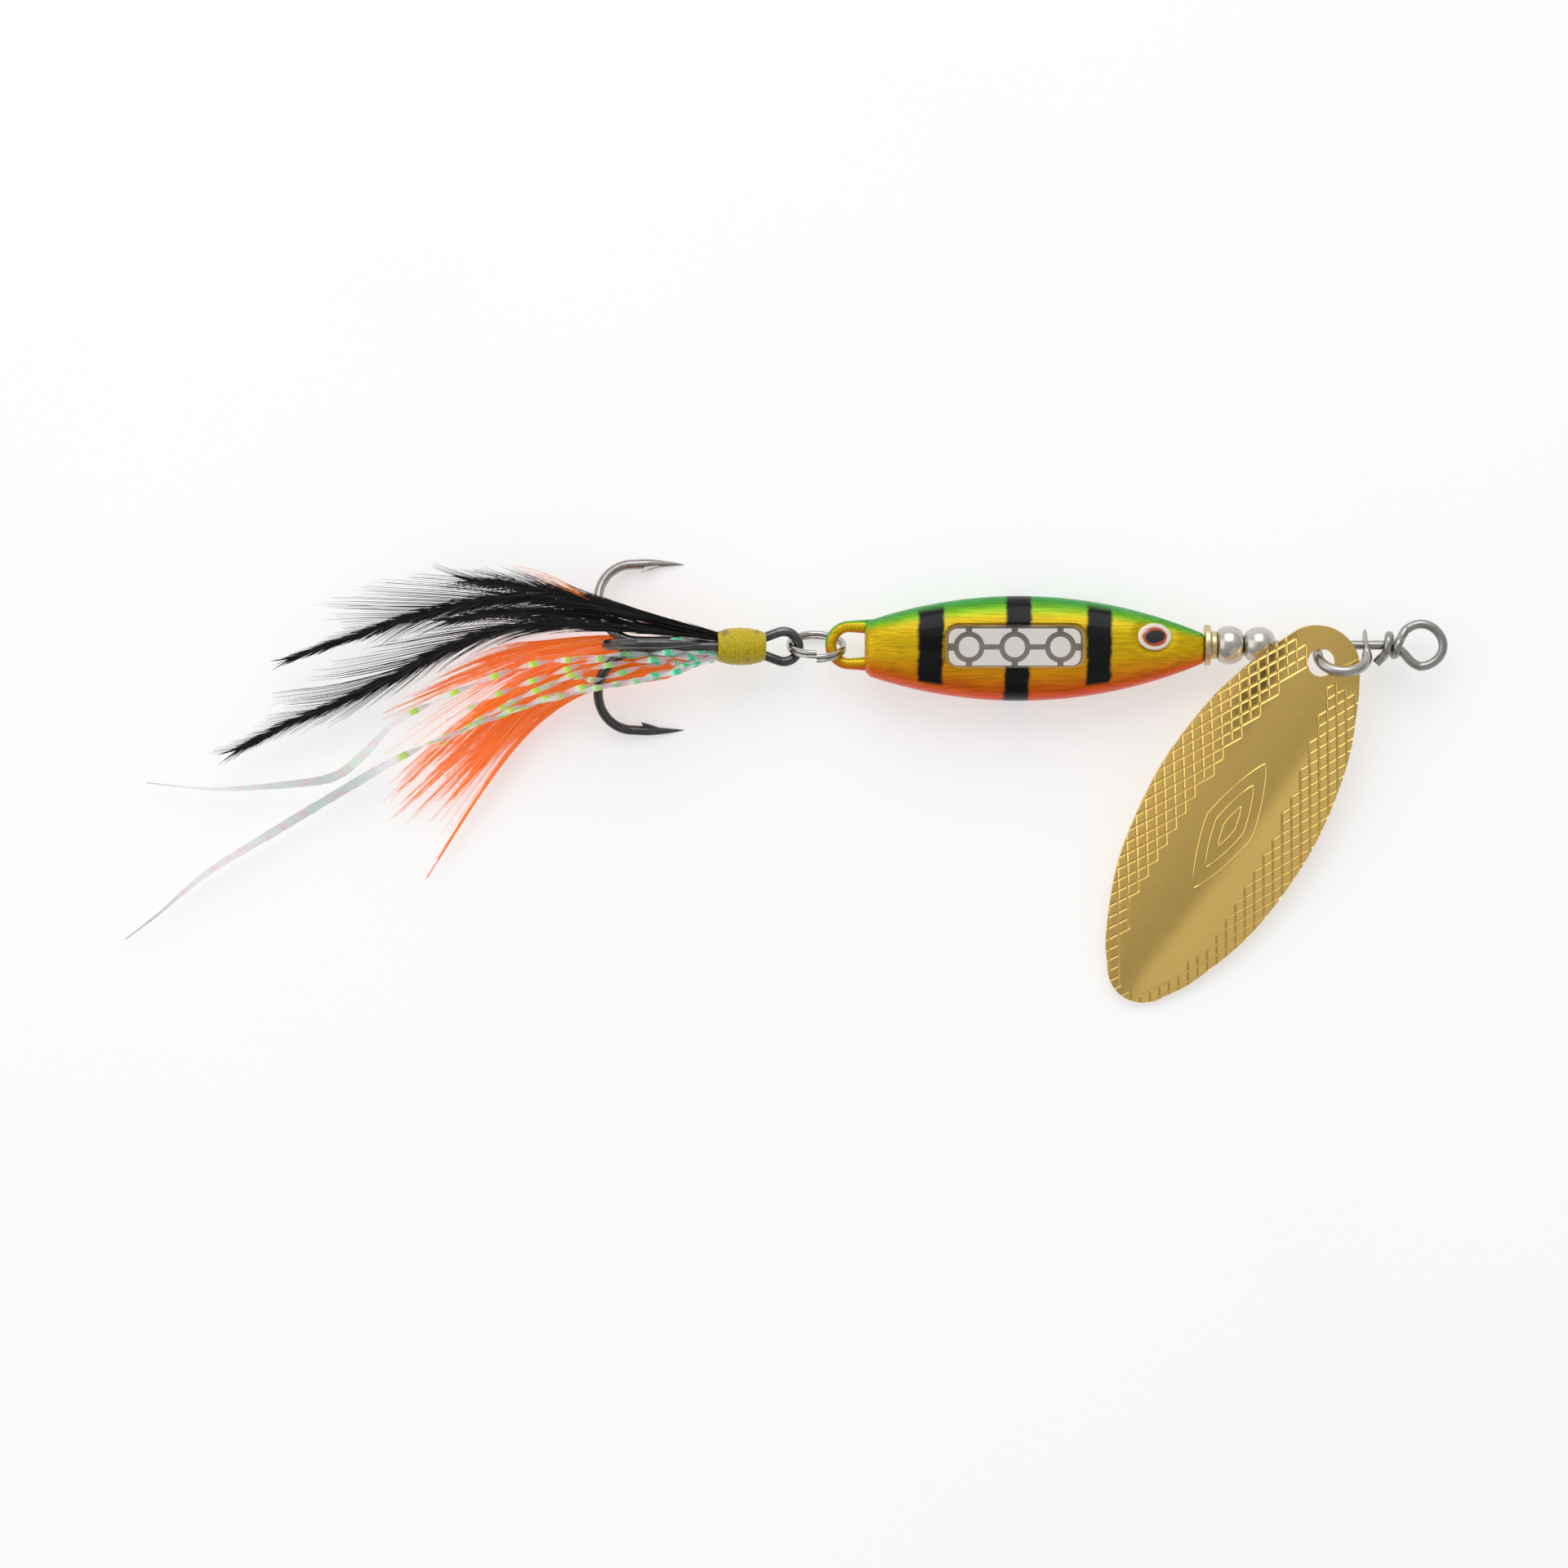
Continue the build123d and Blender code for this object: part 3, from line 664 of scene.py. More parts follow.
BLADE_EDGE = blade_edge()
GROOVE_A = Vector((math.cos(GROOVE_ANGLE), math.sin(GROOVE_ANGLE)))
GROOVE_B = Vector((math.cos(GROOVE_ANGLE), -math.sin(GROOVE_ANGLE)))


def groove_spot(a, b):
    """Place on the flat blade at distance a from family A's middle line and b from B's."""
    spot = (GROOVE_B * a + GROOVE_A * b) / math.sin(2 * GROOVE_ANGLE)
    return 17.35 + spot.x, spot.y


def cell_on(i, k):
    """Whether the stamped diamond between these grooves belongs to the rim's pattern."""
    x, y = groove_spot((i + 0.5) * GROOVE_PITCH, (k + 0.5) * GROOVE_PITCH)
    margin = blade_half_width(x) - abs(y)
    depth = 4.1 - 2.5 * smoothstep(15.0, 36.0, x) - 1.0 * smoothstep(7.0, -1.0, x)
    start = 1.6 if y > 0 else -0.6
    return -0.6 < margin < depth and x > start


def make_blade(material):
    """A grid that follows the two groove families, trimmed to the outline, then bent."""
    lines = [(i * GROOVE_PITCH + offset, offset, i) for i in range(-22, 23) for offset in GROOVE_OFFSETS]
    on = {}

    def cell(i, k):
        if (i, k) not in on:
            on[i, k] = cell_on(i, k)
        return on[i, k]

    verts = []
    index = {}
    for i, (a, offset_a, line_a) in enumerate(lines):
        for k, (b, offset_b, line_b) in enumerate(lines):
            x, y = groove_spot(a, b)
            if not (-5 < x < 40 and abs(y) < 10.5):
                continue
            cell_a = line_a if offset_a > 0 else line_a - 1
            cell_b = line_b if offset_b > 0 else line_b - 1
            if offset_a == 0 and offset_b == 0:
                low = any(cell(line_a - m, line_b - n) for m in (0, 1) for n in (0, 1))
            elif offset_a == 0:
                low = cell(line_a - 1, cell_b) or cell(line_a, cell_b)
            elif offset_b == 0:
                low = cell(cell_a, line_b - 1) or cell(cell_a, line_b)
            else:
                low = False
            index[i, k] = len(verts)
            verts.append((x, y, -GROOVE_DEPTH if low else 0.0))
    faces = []
    for i in range(len(lines) - 1):
        for k in range(len(lines) - 1):
            ring = [(i, k), (i + 1, k), (i + 1, k + 1), (i, k + 1)]
            if all(r in index for r in ring):
                faces.append(tuple(index[r] for r in ring))
    obj = new_object("blade_stamped", verts, faces)
    close_below(obj, BLADE_THICKNESS)
    outline = [(p.x, p.y) for p in BLADE_EDGE] + [(p.x, -p.y) for p in BLADE_EDGE[-2:0:-1]]
    boolean(obj, prism("trim", outline, -2, 2), "INTERSECT")
    hole = [(BLADE_HOLE_RADIUS * math.cos(t), BLADE_HOLE_RADIUS * math.sin(t)) for t in circle(64)]
    boolean(obj, prism("hole", hole, -2, 2), "DIFFERENCE")
    slice_underside(obj, BLADE_THICKNESS, 1.4)
    for vertex in obj.data.vertices:
        x, y, z = vertex.co / MM
        vertex.co = blade_point(x, y, z) * MM
    obj.data.update()
    finish_piece(obj, "blade", ["blade"], material, 50)


def close_below(obj, thickness):
    """Close an open sheet with straight walls and one flat face underneath."""
    shape = open_mesh(obj)
    rim = boundary_loop(shape)
    floor = [shape.verts.new((v.co.x, v.co.y, -thickness * MM)) for v in rim]
    for i in range(len(rim)):
        j = (i + 1) % len(rim)
        shape.faces.new([rim[i], rim[j], floor[j], floor[i]])
    shape.faces.new(floor)
    write_mesh(shape, obj)


def slice_underside(obj, thickness, spacing):
    """Divide the flat underside so that it can bend with the rest."""
    shape = open_mesh(obj)
    level = (-thickness + 0.01) * MM
    for axis, low, high in ((Vector((1, 0, 0)), -5, 39), (Vector((0, 1, 0)), -9, 9)):
        place = low
        while place < high:
            under = [f for f in shape.faces if all(v.co.z < level for v in f.verts)]
            parts = set(under)
            for face in under:
                parts.update(face.edges)
                parts.update(face.verts)
            bmesh.ops.bisect_plane(shape, geom=list(parts), plane_co=axis * place * MM,
                                   plane_no=axis, dist=1e-8)
            place += spacing
    write_mesh(shape, obj, outward=False)


def prism(name, outline, low, high):
    count = len(outline)
    verts = [(x, y, z) for z in (low, high) for x, y in outline]
    obj = new_object(name, verts, end_faces(2, count) + ring_faces(2, count))
    write_mesh(open_mesh(obj), obj)
    return obj


def make_blade_emblem(material):
    """Plain nested lozenges, embossed in place of any mark."""
    for n, (length, width) in enumerate(((7.0, 2.5), (4.6, 1.5), (2.2, 0.6))):
        line = []
        for k in range(81):
            angle = 2 * math.pi * k / 80
            c = math.cos(angle)
            s = math.sin(angle)
            line.append(blade_point(18.2 + length * math.copysign(abs(c) ** 1.6, c),
                                    width * math.copysign(abs(s) ** 1.6, s), -0.04))
        obj = new_object(f"blade_emboss_{n + 1}", *tube_mesh(line, (0.09, 0.13), 8, BLADE_N))
        finish_piece(obj, "blade", [], material)


# Body: a fish-shaped casting with superelliptic sections

BODY_NOSE = corners("body")[1].x
BODY_TAIL = -54.5
BODY_WIDEST = -39.4
BODY_HALF_HEIGHT = 5.14
BODY_PROFILE = 46.0
BODY_DROP = 0.32
WINDOW_CENTRE = (-39.8, -0.18)
WINDOW_SIZE = (13.2, 3.88)
TAIL_EDGE = 0.7
NOSE_EDGE = 0.3
LOOP_X = -56.0
LOOP_RADIUS = 1.82
EYE_SPOT = (-26.28, 0.75)
EYE_HALF = (1.725, 1.36)
EYE_SLOPE = (-0.25, -0.13)
EYE_FLANK = 2.74


def body_half_height(x):
    reach = x - BODY_WIDEST
    return BODY_HALF_HEIGHT - BODY_PROFILE + math.sqrt(BODY_PROFILE ** 2 - reach ** 2)


def body_half_thickness(x):
    return ((0.86 * body_half_height(x)) ** -12 + 3.3 ** -12) ** (-1 / 12)


def body_surface(x, angle, inset):
    high = body_half_height(x) - inset
    wide = body_half_thickness(x) - inset
    c = math.cos(angle)
    s = math.sin(angle)
    power = 2 / 2.6
    y = math.copysign(abs(c) ** power, c) * high - BODY_DROP
    z = math.copysign(abs(s) ** power, s) * wide
    reach = math.hypot((x - EYE_SPOT[0]) / 2.5, (y - EYE_SPOT[1]) / 2.1)
    dish = 0.20 * (1 - smoothstep(0.55, 1.0, reach)) if abs(z) > 1 else 0.0
    return Vector((x, y, z - math.copysign(dish, z)))


def body_rows():
    """Stations along the body, each with how far its rounded end is drawn in."""
    quarter = [t * math.pi / 12 for t in range(6)]
    rows = sorted((BODY_TAIL + TAIL_EDGE * (1 - math.cos(t)), TAIL_EDGE * (1 - math.sin(t))) for t in quarter)
    steps = 150
    straight = BODY_NOSE - NOSE_EDGE - BODY_TAIL - TAIL_EDGE
    rows += [(BODY_TAIL + TAIL_EDGE + straight * i / steps, 0.0) for i in range(steps + 1)]
    for t in range(1, 5):
        turn = t * math.pi / 8
        rows.append((BODY_NOSE - NOSE_EDGE + NOSE_EDGE * math.sin(turn), NOSE_EDGE * (1 - math.cos(turn))))
    return rows


def make_body(material):
    sides = 128
    rows = body_rows()
    verts = [body_surface(x, angle, inset) for x, inset in rows for angle in circle(sides)]
    obj = new_object("body_painted", verts, ring_faces(len(rows), sides) + end_faces(len(rows), sides))
    write_mesh(open_mesh(obj), obj)
    boolean(obj, window_cutter(), "DIFFERENCE")
    ends = [(-53.3, LOOP_RADIUS), (-54.6, LOOP_RADIUS)]
    loop = ends + [(LOOP_X + LOOP_RADIUS * c, LOOP_RADIUS * s) for c, s in arc(90, 271, 9)]
    loop += [(x, -y) for x, y in reversed(ends)]
    loop = [Vector((x, y, 0)) for x, y in loop]
    flare = [0.55 + 0.22 * smoothstep(-54.9, -54.3, p.x) for p in loop]
    boolean(obj, new_object("loop", *tube_mesh(loop, flare, 24, Vector((0, 0, 1)))), "UNION")
    levels = []
    for vertex in obj.data.vertices:
        x, y, _ = vertex.co / MM
        if x < BODY_TAIL:
            ring = math.hypot(x - LOOP_X, y) if x < LOOP_X else abs(y)
            half = math.copysign(1, y)
            levels.append(max(-1.0, min(1.0, (ring - LOOP_RADIUS) * half * 1.5 + 0.15 * half)))
        else:
            nearest = min(max(x, BODY_TAIL), BODY_NOSE)
            levels.append(max(-1.1, min(1.1, (y + BODY_DROP) / body_half_height(nearest))))
    around = [4.6 * math.atan2(v.co.y / MM + BODY_DROP, abs(v.co.z / MM)) for v in obj.data.vertices]
    add_values(obj.data, {"height": levels, "around": around})
    finish_piece(obj, "casting", ["body"], material, 50)


def window_cutter():
    """A rounded window whose walls flare out to each face in a rounded lip."""
    rings = []
    lip = 0.75
    reach = 3.4
    for z in [reach * (1 - k / 24) for k in range(49)]:
        share = max(0.0, (abs(z) - 1.5) / (reach - 1.5))
        flare = lip * (1 - math.sqrt(max(0.0, 1 - share ** 2)))
        rings.append((z, flare))
    sides_per_corner = 8
    verts = []
    for z, flare in rings:
        half_x = WINDOW_SIZE[0] / 2 + flare
        half_y = WINDOW_SIZE[1] / 2 + flare
        radius = 1.0 + flare
        for corner in range(4):
            for k in range(sides_per_corner):
                angle = math.pi / 2 * (corner + k / (sides_per_corner - 1))
                sx = 1 if corner in (0, 3) else -1
                sy = 1 if corner in (0, 1) else -1
                verts.append((WINDOW_CENTRE[0] + sx * (half_x - radius) + radius * math.cos(angle),
                              WINDOW_CENTRE[1] + sy * (half_y - radius) + radius * math.sin(angle), z))
    count = 4 * sides_per_corner
    faces = ring_faces(len(rings), count, flipped=True) + end_faces(len(rings), count, flipped=True)
    return new_object("window", verts, faces)


def make_fish_eye(node, side, material):
    """A domed disc with a raised rim."""
    rows = 28
    sides = 64
    tilt = 0.18
    verts = []
    rings = []
    pupils = []
    for i in range(rows + 1):
        share = i / rows
        for angle in circle(sides):
            x = EYE_HALF[0] * share * math.cos(angle)
            y = EYE_HALF[1] * share * math.sin(angle)
            dome = 0.10 + 0.26 * (1 - share ** 2) + 0.05 * math.exp(-((share - 0.86) / 0.07) ** 2)
            if i == rows:
                dome = -0.45
            z = EYE_FLANK + EYE_SLOPE[0] * x + EYE_SLOPE[1] * y + dome - 0.20
            verts.append((EYE_SPOT[0] + x, EYE_SPOT[1] + y, side * z))
            rings.append(share)
            u = x * math.cos(tilt) + y * math.sin(tilt)
            v = -x * math.sin(tilt) + y * math.cos(tilt)
            pupils.append(math.hypot((u + 0.05) / (1.0 + 0.12 * u), v / 0.64))
    faces = ring_faces(rows + 1, sides, flipped=True)
    if side < 0:
        faces = [face[::-1] for face in faces]
    obj = new_object(node + "_domed", verts, faces, {"ring": rings, "pupil": pupils})
    shape = open_mesh(obj)
    bmesh.ops.remove_doubles(shape, verts=shape.verts, dist=1e-6)
    shape.faces.new(boundary_loop(shape))
    write_mesh(shape, obj)
    finish_piece(obj, "casting", [node], material, 60)


def boundary_loop(shape):
    """The open edge's vertices in order."""
    edges = [e for e in shape.edges if e.is_boundary]
    links = {}
    for edge in edges:
        a, b = edge.verts
        links.setdefault(a, []).append(b)
        links.setdefault(b, []).append(a)
    start = edges[0].verts[0]
    order = [start]
    previous = None
    current = start
    while True:
        following = [v for v in links[current] if v is not previous][0]
        if following is start:
            return order
        order.append(following)
        previous, current = current, following


# Treble hook, in its own frame: x along the shank, y across, z up

HOOK_EYE = Vector((-62.42, -0.14, 0.12))
HOOK_PITCH = math.radians(8)
HOOK_X = Vector((-math.cos(HOOK_PITCH), 0, math.sin(HOOK_PITCH)))
HOOK_Y = Vector((0, -1, 0))
HOOK_Z = Vector((math.sin(HOOK_PITCH), 0, math.cos(HOOK_PITCH)))
HOOK_WIRE = 0.475
SHANK_OFFSET = 0.56
BEND_START = 14.3
BEND_LENGTH = 3.7
GAPE = 8.85
POINT_LENGTH = 5.0
EYE_RADIUS = 1.475
# The double hook's two legs, from the thread up to the eye
EYE_LEGS = [(4.2, 0.50, -0.27), (3.1, 0.56, -0.20), (2.1, 0.80, -0.08), (1.3, 1.10, 0)]
DOUBLE_ANGLES = (math.radians(-30), math.radians(210))
SINGLE_ANGLE = math.radians(90)


def on_hook(x, y, z):
    return HOOK_EYE + HOOK_X * x + HOOK_Y * y + HOOK_Z * z


def hook_line(angle, start_x):
    """Points of one hook from its shank to its needle point, with radii."""
    out_y = math.cos(angle)
    out_z = math.sin(angle)
    flat = [(start_x + (BEND_START - start_x) * k / 12, SHANK_OFFSET) for k in range(12)]
    for k in range(33):
        turn = -math.pi / 2 + math.pi * k / 32
        rise = GAPE / 2 * (1 + math.sin(turn))
        flat.append((BEND_START + BEND_LENGTH * math.cos(turn), SHANK_OFFSET + rise))
    for k in range(1, 25):
        share = k / 24
        bow = 0.10 * math.sin(math.pi * share)
        flat.append((BEND_START - POINT_LENGTH * share, SHANK_OFFSET + GAPE + bow))
    tip_x = BEND_START - POINT_LENGTH
    radii = []
    for x, y in flat:
        straight = y > SHANK_OFFSET + GAPE * 0.9
        share = min(1.0, (x - tip_x) / 3.6) if straight else 1.0
        radii.append(max(0.035, HOOK_WIRE * share ** 0.72))
    return [on_hook(x, y * out_y, y * out_z) for x, y in flat], radii


def barb_mesh(angle):
    """A sliver of wire cut and raised towards the shank."""
    x = BEND_START - 1.0
    y = SHANK_OFFSET + GAPE - HOOK_WIRE
    verts = []
    for ahead, rise, half in ((-1.5, 0.25, 0.20), (-0.4, 0.16, 0.22), (0.30, -0.42, 0.03),
                              (-0.05, 0.15, 0.20), (-0.75, -0.06, 0.14)):
        for across in (half, -half):
            verts.append(on_hook(x + ahead, (y + rise) * math.cos(angle) - across * math.sin(angle),
                                 (y + rise) * math.sin(angle) + across * math.cos(angle)))
    faces = [(0, 8, 9, 1), (8, 4, 5, 9), (4, 6, 7, 5), (6, 2, 3, 7), (2, 0, 1, 3),
             (0, 2, 6, 4, 8), (1, 9, 5, 7, 3)]
    return verts, faces


def join_meshes(parts):
    verts = []
    faces = []
    for more_verts, more_faces in parts:
        shift = len(verts)
        verts += more_verts
        faces += [tuple(i + shift for i in face) for face in more_faces]
    return verts, faces


def make_hooks(material):
    (first, first_radii), (second, second_radii) = [hook_line(angle, 5.2) for angle in DOUBLE_ANGLES]
    eye = [on_hook(*spot) for spot in EYE_LEGS]
    eye += [on_hook(-EYE_RADIUS * c, EYE_RADIUS * s, 0) for c, s in arc(112, -113, -14)]
    eye += [on_hook(x, -y, z) for x, y, z in reversed(EYE_LEGS)]
    points = first[::-1] + eye + second
    smooth = catmull(points, 3)
    control = first_radii[::-1] + [HOOK_WIRE] * len(eye) + second_radii
    radii = []
    for i in range(len(smooth)):
        place = i / 3
        low = min(int(place), len(control) - 1)
        high = min(low + 1, len(control) - 1)
        radii.append(control[low] + (control[high] - control[low]) * (place - low))
    parts = [tube_mesh(smooth, radii, 16)] + [barb_mesh(angle) for angle in DOUBLE_ANGLES]
    obj = new_object("hook_double_forged", *join_meshes(parts))
    finish_piece(obj, "treble", ["hook_double"], material)
    single, radii = hook_line(SINGLE_ANGLE, 2.6)
    parts = [tube_mesh(single, radii, 16), barb_mesh(SINGLE_ANGLE)]
    obj = new_object("hook_single_forged", *join_meshes(parts))
    finish_piece(obj, "treble", ["hook_single"], material)


def make_thread_wrap(material):
    """A barrel of close windings with a slightly loose turn here and there."""
    rng = random.Random(5)
    start = 1.9
    end = 6.6
    pitch = 0.165
    rows = 300
    sides = 72
    loose = [rng.uniform(-0.03, 0.05) for _ in range(40)]
    verts = []
    for i in range(rows + 1):
        share = i / rows
        x = start + (end - start) * share
        barrel = 1.08 + 0.70 * math.sin(math.pi * (0.05 + 0.90 * share)) ** 0.6 + 0.04 * share
        for angle in circle(sides):
            turn = (x - start) / pitch + angle / (2 * math.pi)
            lay = abs(math.sin(math.pi * turn)) ** 0.7
            radius = barrel + 0.05 * lay + loose[int(turn) % 40] * 0.5
            verts.append(on_hook(x, radius * math.cos(angle), radius * math.sin(angle)))
    for x in (end, start):
        verts += [on_hook(x, math.cos(angle), math.sin(angle)) for angle in circle(sides)]
    obj = new_object("thread_winding", verts, ring_faces(rows + 3, sides, closed=True))
    finish_piece(obj, "treble", ["thread_wrap"], material, 80)


# Dressing: feathers, plumes and film strands

DRESSING_X = corners("black_feather_1")[1].x


def height_at(x, level, slope):
    """Height of a lay at x: it starts inside the thread and rises to its level just behind it."""
    run = DRESSING_X - x
    start = 1.35
    settle = smoothstep(-1.0, 5.0, run)
    return start + (level - start) * settle - slope * max(run, 0)


class Tuft:
    """Collects thin ribbons and quills into one mesh."""

    def __init__(self):
        self.verts = []
        self.faces = []
        self.along = []
        self.tone = []

    def ribbon(self, line, widths, normal_tilt, tone):
        start = len(self.verts)
        count = len(line)
        for i, point in enumerate(line):
            ahead = line[min(i + 1, count - 1)] - line[max(i - 1, 0)]
            side = Vector((-ahead.y, ahead.x, 0))
            side = side.normalized() if side.length > 1e-9 else Vector((0, 1, 0))
            side = (side + Vector((0, 0, normal_tilt))).normalized() * widths[i]
            self.verts += [point + side, point - side]
            self.along += [i / (count - 1)] * 2
            self.tone += [tone, tone]
        for i in range(count - 1):
            a = start + 2 * i
            self.faces.append((a, a + 1, a + 3, a + 2))

    def quill(self, line, radii, tone):
        start = len(self.verts)
        verts, faces = tube_mesh(line, radii, 6)
        self.verts += verts
        self.faces += [tuple(i + start for i in face) for face in faces]
        self.along += [0.0] * len(verts)
        self.tone += [tone] * len(verts)

    def make(self, name, body, nodes, material):
        values = {"along": self.along, "tone": self.tone}
        obj = new_object(name, self.verts, self.faces, values)
        return finish_piece(obj, body, nodes, material, 180)


def point_on(line, share):
    place = share * (len(line) - 1)
    low = min(int(place), len(line) - 2)
    return line[low].lerp(line[low + 1], place - low), (line[low + 1] - line[low]).normalized()


def grow_barbs(tuft, rng, line, shape):
    """Fine barbs that leave the quill at a small angle and follow its curve, gathered into locks."""
    steps = 9
    whole = sum((b - a).length for a, b in zip(line, line[1:]))
    for side in (-1, 1):
        left = 0
        for n in range(shape["count"]):
            if left == 0:
                left = rng.randint(*shape["clump"])
                clump_angle = rng.uniform(-1, 1) * shape["stray"]
                clump_length = rng.uniform(*shape["ragged"])
            left -= 1
            share = shape["from"] + (1 - shape["from"]) * (n + rng.random()) / shape["count"]
            reach = shape["length"](share, side) * clump_length * rng.uniform(0.85, 1.05)
            angle = shape["angle"](share, side) + clump_angle + rng.uniform(-0.012, 0.012)
            rise = rng.uniform(-0.75, 0.75)
            points = []
            for k in range(steps + 1):
                run = reach * k / steps
                place = share + run / whole
                spot, forward = point_on(line, min(place, 0.999))
                if place > 0.999:
                    spot = spot + forward * (place - 0.999) * whole
                across = Vector((forward.y, -forward.x, 0)) * -side
                spread = math.sin(angle) * run * (0.75 + 0.25 * k / steps)
                spot = spot + across * spread + Vector((0, 0, rise * k / steps))
                points.append(Vector((spot.x, spot.y, max(spot.z, TABLE_Z + 0.15))))
            width = shape["width"] * rng.uniform(0.7, 1.25)
            widths = [width * (1.0 - 0.8 * (k / steps) ** 1.3) for k in range(steps + 1)]
            tuft.ribbon(points, widths, rng.uniform(-0.5, 0.5), rng.random())


BLACK_QUILLS = [
    [(-68.4, 0.75), (-69.6, 1.0), (-74.0, 2.0), (-78.0, 3.0), (-84.3, 4.1), (-88.6, 4.6), (-93.6, 3.9),
     (-99.2, 2.6),
     (-104.0, 1.0), (-110.6, -1.3)],
    [(-68.4, 0.45), (-69.6, 0.6), (-74.0, 1.1), (-78.0, 1.5), (-84.3, 1.9), (-90.0, 1.4), (-95.6, -0.5),
     (-100.0, -2.8),
     (-105.5, -5.5), (-111.0, -7.8), (-115.8, -10.2)],
    [(-68.4, 0.9), (-69.6, 1.25), (-76.0, 2.9), (-83.2, 4.7), (-88.0, 5.6), (-93.0, 6.2)],
    [(-68.4, 0.6), (-69.6, 0.8), (-76.0, 1.8), (-83.2, 2.9), (-90.0, 3.2), (-95.0, 2.4)],
]
BLACK_LEVELS = [2.3, 2.7, 3.1, 2.0]


def make_black_feathers(material):
    for n, quill in enumerate(BLACK_QUILLS):
        rng = random.Random(40 + n)
        line = catmull([(x, y, height_at(x, BLACK_LEVELS[n], 0.052)) for x, y in quill], 8)
        tuft = Tuft()
        count = len(line)
        tuft.quill(line, [0.15 - 0.11 * i / count for i in range(count)], 0.2)
        whole = n < 2

        def length(share, side, n=n, whole=whole):
            if not whole:
                return 9.0 - 4.5 * share
            close = smoothstep(0.60, 0.95, share)
            long_side = 1.15 if side < 0 else 0.8
            end = 2.4 if n == 0 else 3.2
            return (10.5 * long_side) * (1 - close) + end * close

        def angle(share, side, whole=whole, n=n):
            up = side < 0
            most = (0.33 if up else 0.20) if n == 0 else (0.27 if up else 0.17)
            spread = 0.03 + (most if whole else 0.20) * smoothstep(0.10, 0.48, share)
            if n == 0:
                spread -= 0.17 * smoothstep(0.70, 0.90, share)
            return spread

        shape = {"count": 130 if whole else 60, "from": 0.04, "clump": (1, 5), "stray": 0.03,
                 "ragged": (0.75, 1.08), "length": length, "angle": angle, "width": 0.040}
        grow_barbs(tuft, rng, line, shape)
        # Short dense barbs close to the quill
        core = dict(shape)
        core.update({"count": 240 if whole else 110, "width": 0.06, "stray": 0.02,
                     "length": lambda share, side: 4.6 - 2.2 * smoothstep(0.5, 1.0, share),
                     "angle": lambda share, side: 0.05 + 0.13 * smoothstep(0.1, 0.6, share)})
        grow_barbs(tuft, rng, line, core)
        tuft.make(f"black_hackle_{n + 1}", "treble", [f"black_feather_{n + 1}"], material)


# Guide lines across the orange fan, from its upper edge to its lower one
FAN = [
    [(-68.4, 0.1), (-69.4, 0.0), (-74.0, 0.5), (-79.0, 0.9), (-86.0, 0.4), (-91.0, -0.4), (-99.6, -4.3)],
    [(-68.4, 0.0), (-69.4, -0.1), (-74.0, 0.1), (-79.2, 0.0), (-87.2, -1.0), (-93.0, -3.0), (-102.1, -6.7)],
    [(-68.4, -0.1), (-69.4, -0.3), (-74.0, -0.5), (-80.1, -0.9), (-88.0, -3.4), (-94.4, -8.0),
     (-103.4, -16.6)],
    [(-68.4, -0.2), (-69.4, -0.5), (-74.0, -1.1), (-80.1, -1.8), (-87.2, -5.0), (-92.8, -10.2),
     (-101.0, -17.8)],
    [(-68.4, -0.3), (-69.4, -0.7), (-74.0, -2.0), (-80.6, -3.0), (-86.4, -5.9), (-91.2, -11.0),
     (-97.4, -18.6)],
    [(-68.4, -0.4), (-69.4, -0.9), (-74.0, -3.2), (-80.6, -4.1), (-86.0, -7.2), (-91.0, -12.8),
     (-97.8, -23.2)],
]
# Each plume: its part of the fan, fibres, and tip clumps as (place across the fan, reach)
PLUMES = [
    (0.00, 0.42, 450, [(0.02, 0.80), (0.06, 0.93), (0.10, 0.86), (0.14, 0.97), (0.20, 1.0), (0.25, 0.84),
                       (0.30, 0.78), (0.35, 0.74)]),
    (0.36, 0.80, 560, [(0.40, 0.95), (0.44, 0.99), (0.48, 0.92), (0.52, 0.97), (0.56, 1.0), (0.60, 0.90),
                       (0.64, 0.97), (0.69, 0.94), (0.73, 0.88), (0.77, 0.95)]),
    (0.72, 1.00, 330, [(0.76, 0.98), (0.81, 0.88), (0.86, 0.84), (0.91, 0.80), (1.0, 1.0), (0.985, 0.93),
                       (0.95, 0.82)]),
]


def fan_line(place):
    """A line across the fan at this place, 0 at the upper edge and 1 at the lower."""
    spot = min(max(place, 0.0), 1.0) * (len(FAN) - 1)
    low = min(int(spot), len(FAN) - 2)
    share = spot - low
    mixed = [(a[0] + (b[0] - a[0]) * share, a[1] + (b[1] - a[1]) * share, 0)
             for a, b in zip(FAN[low], FAN[low + 1])]
    return catmull(mixed, 4)


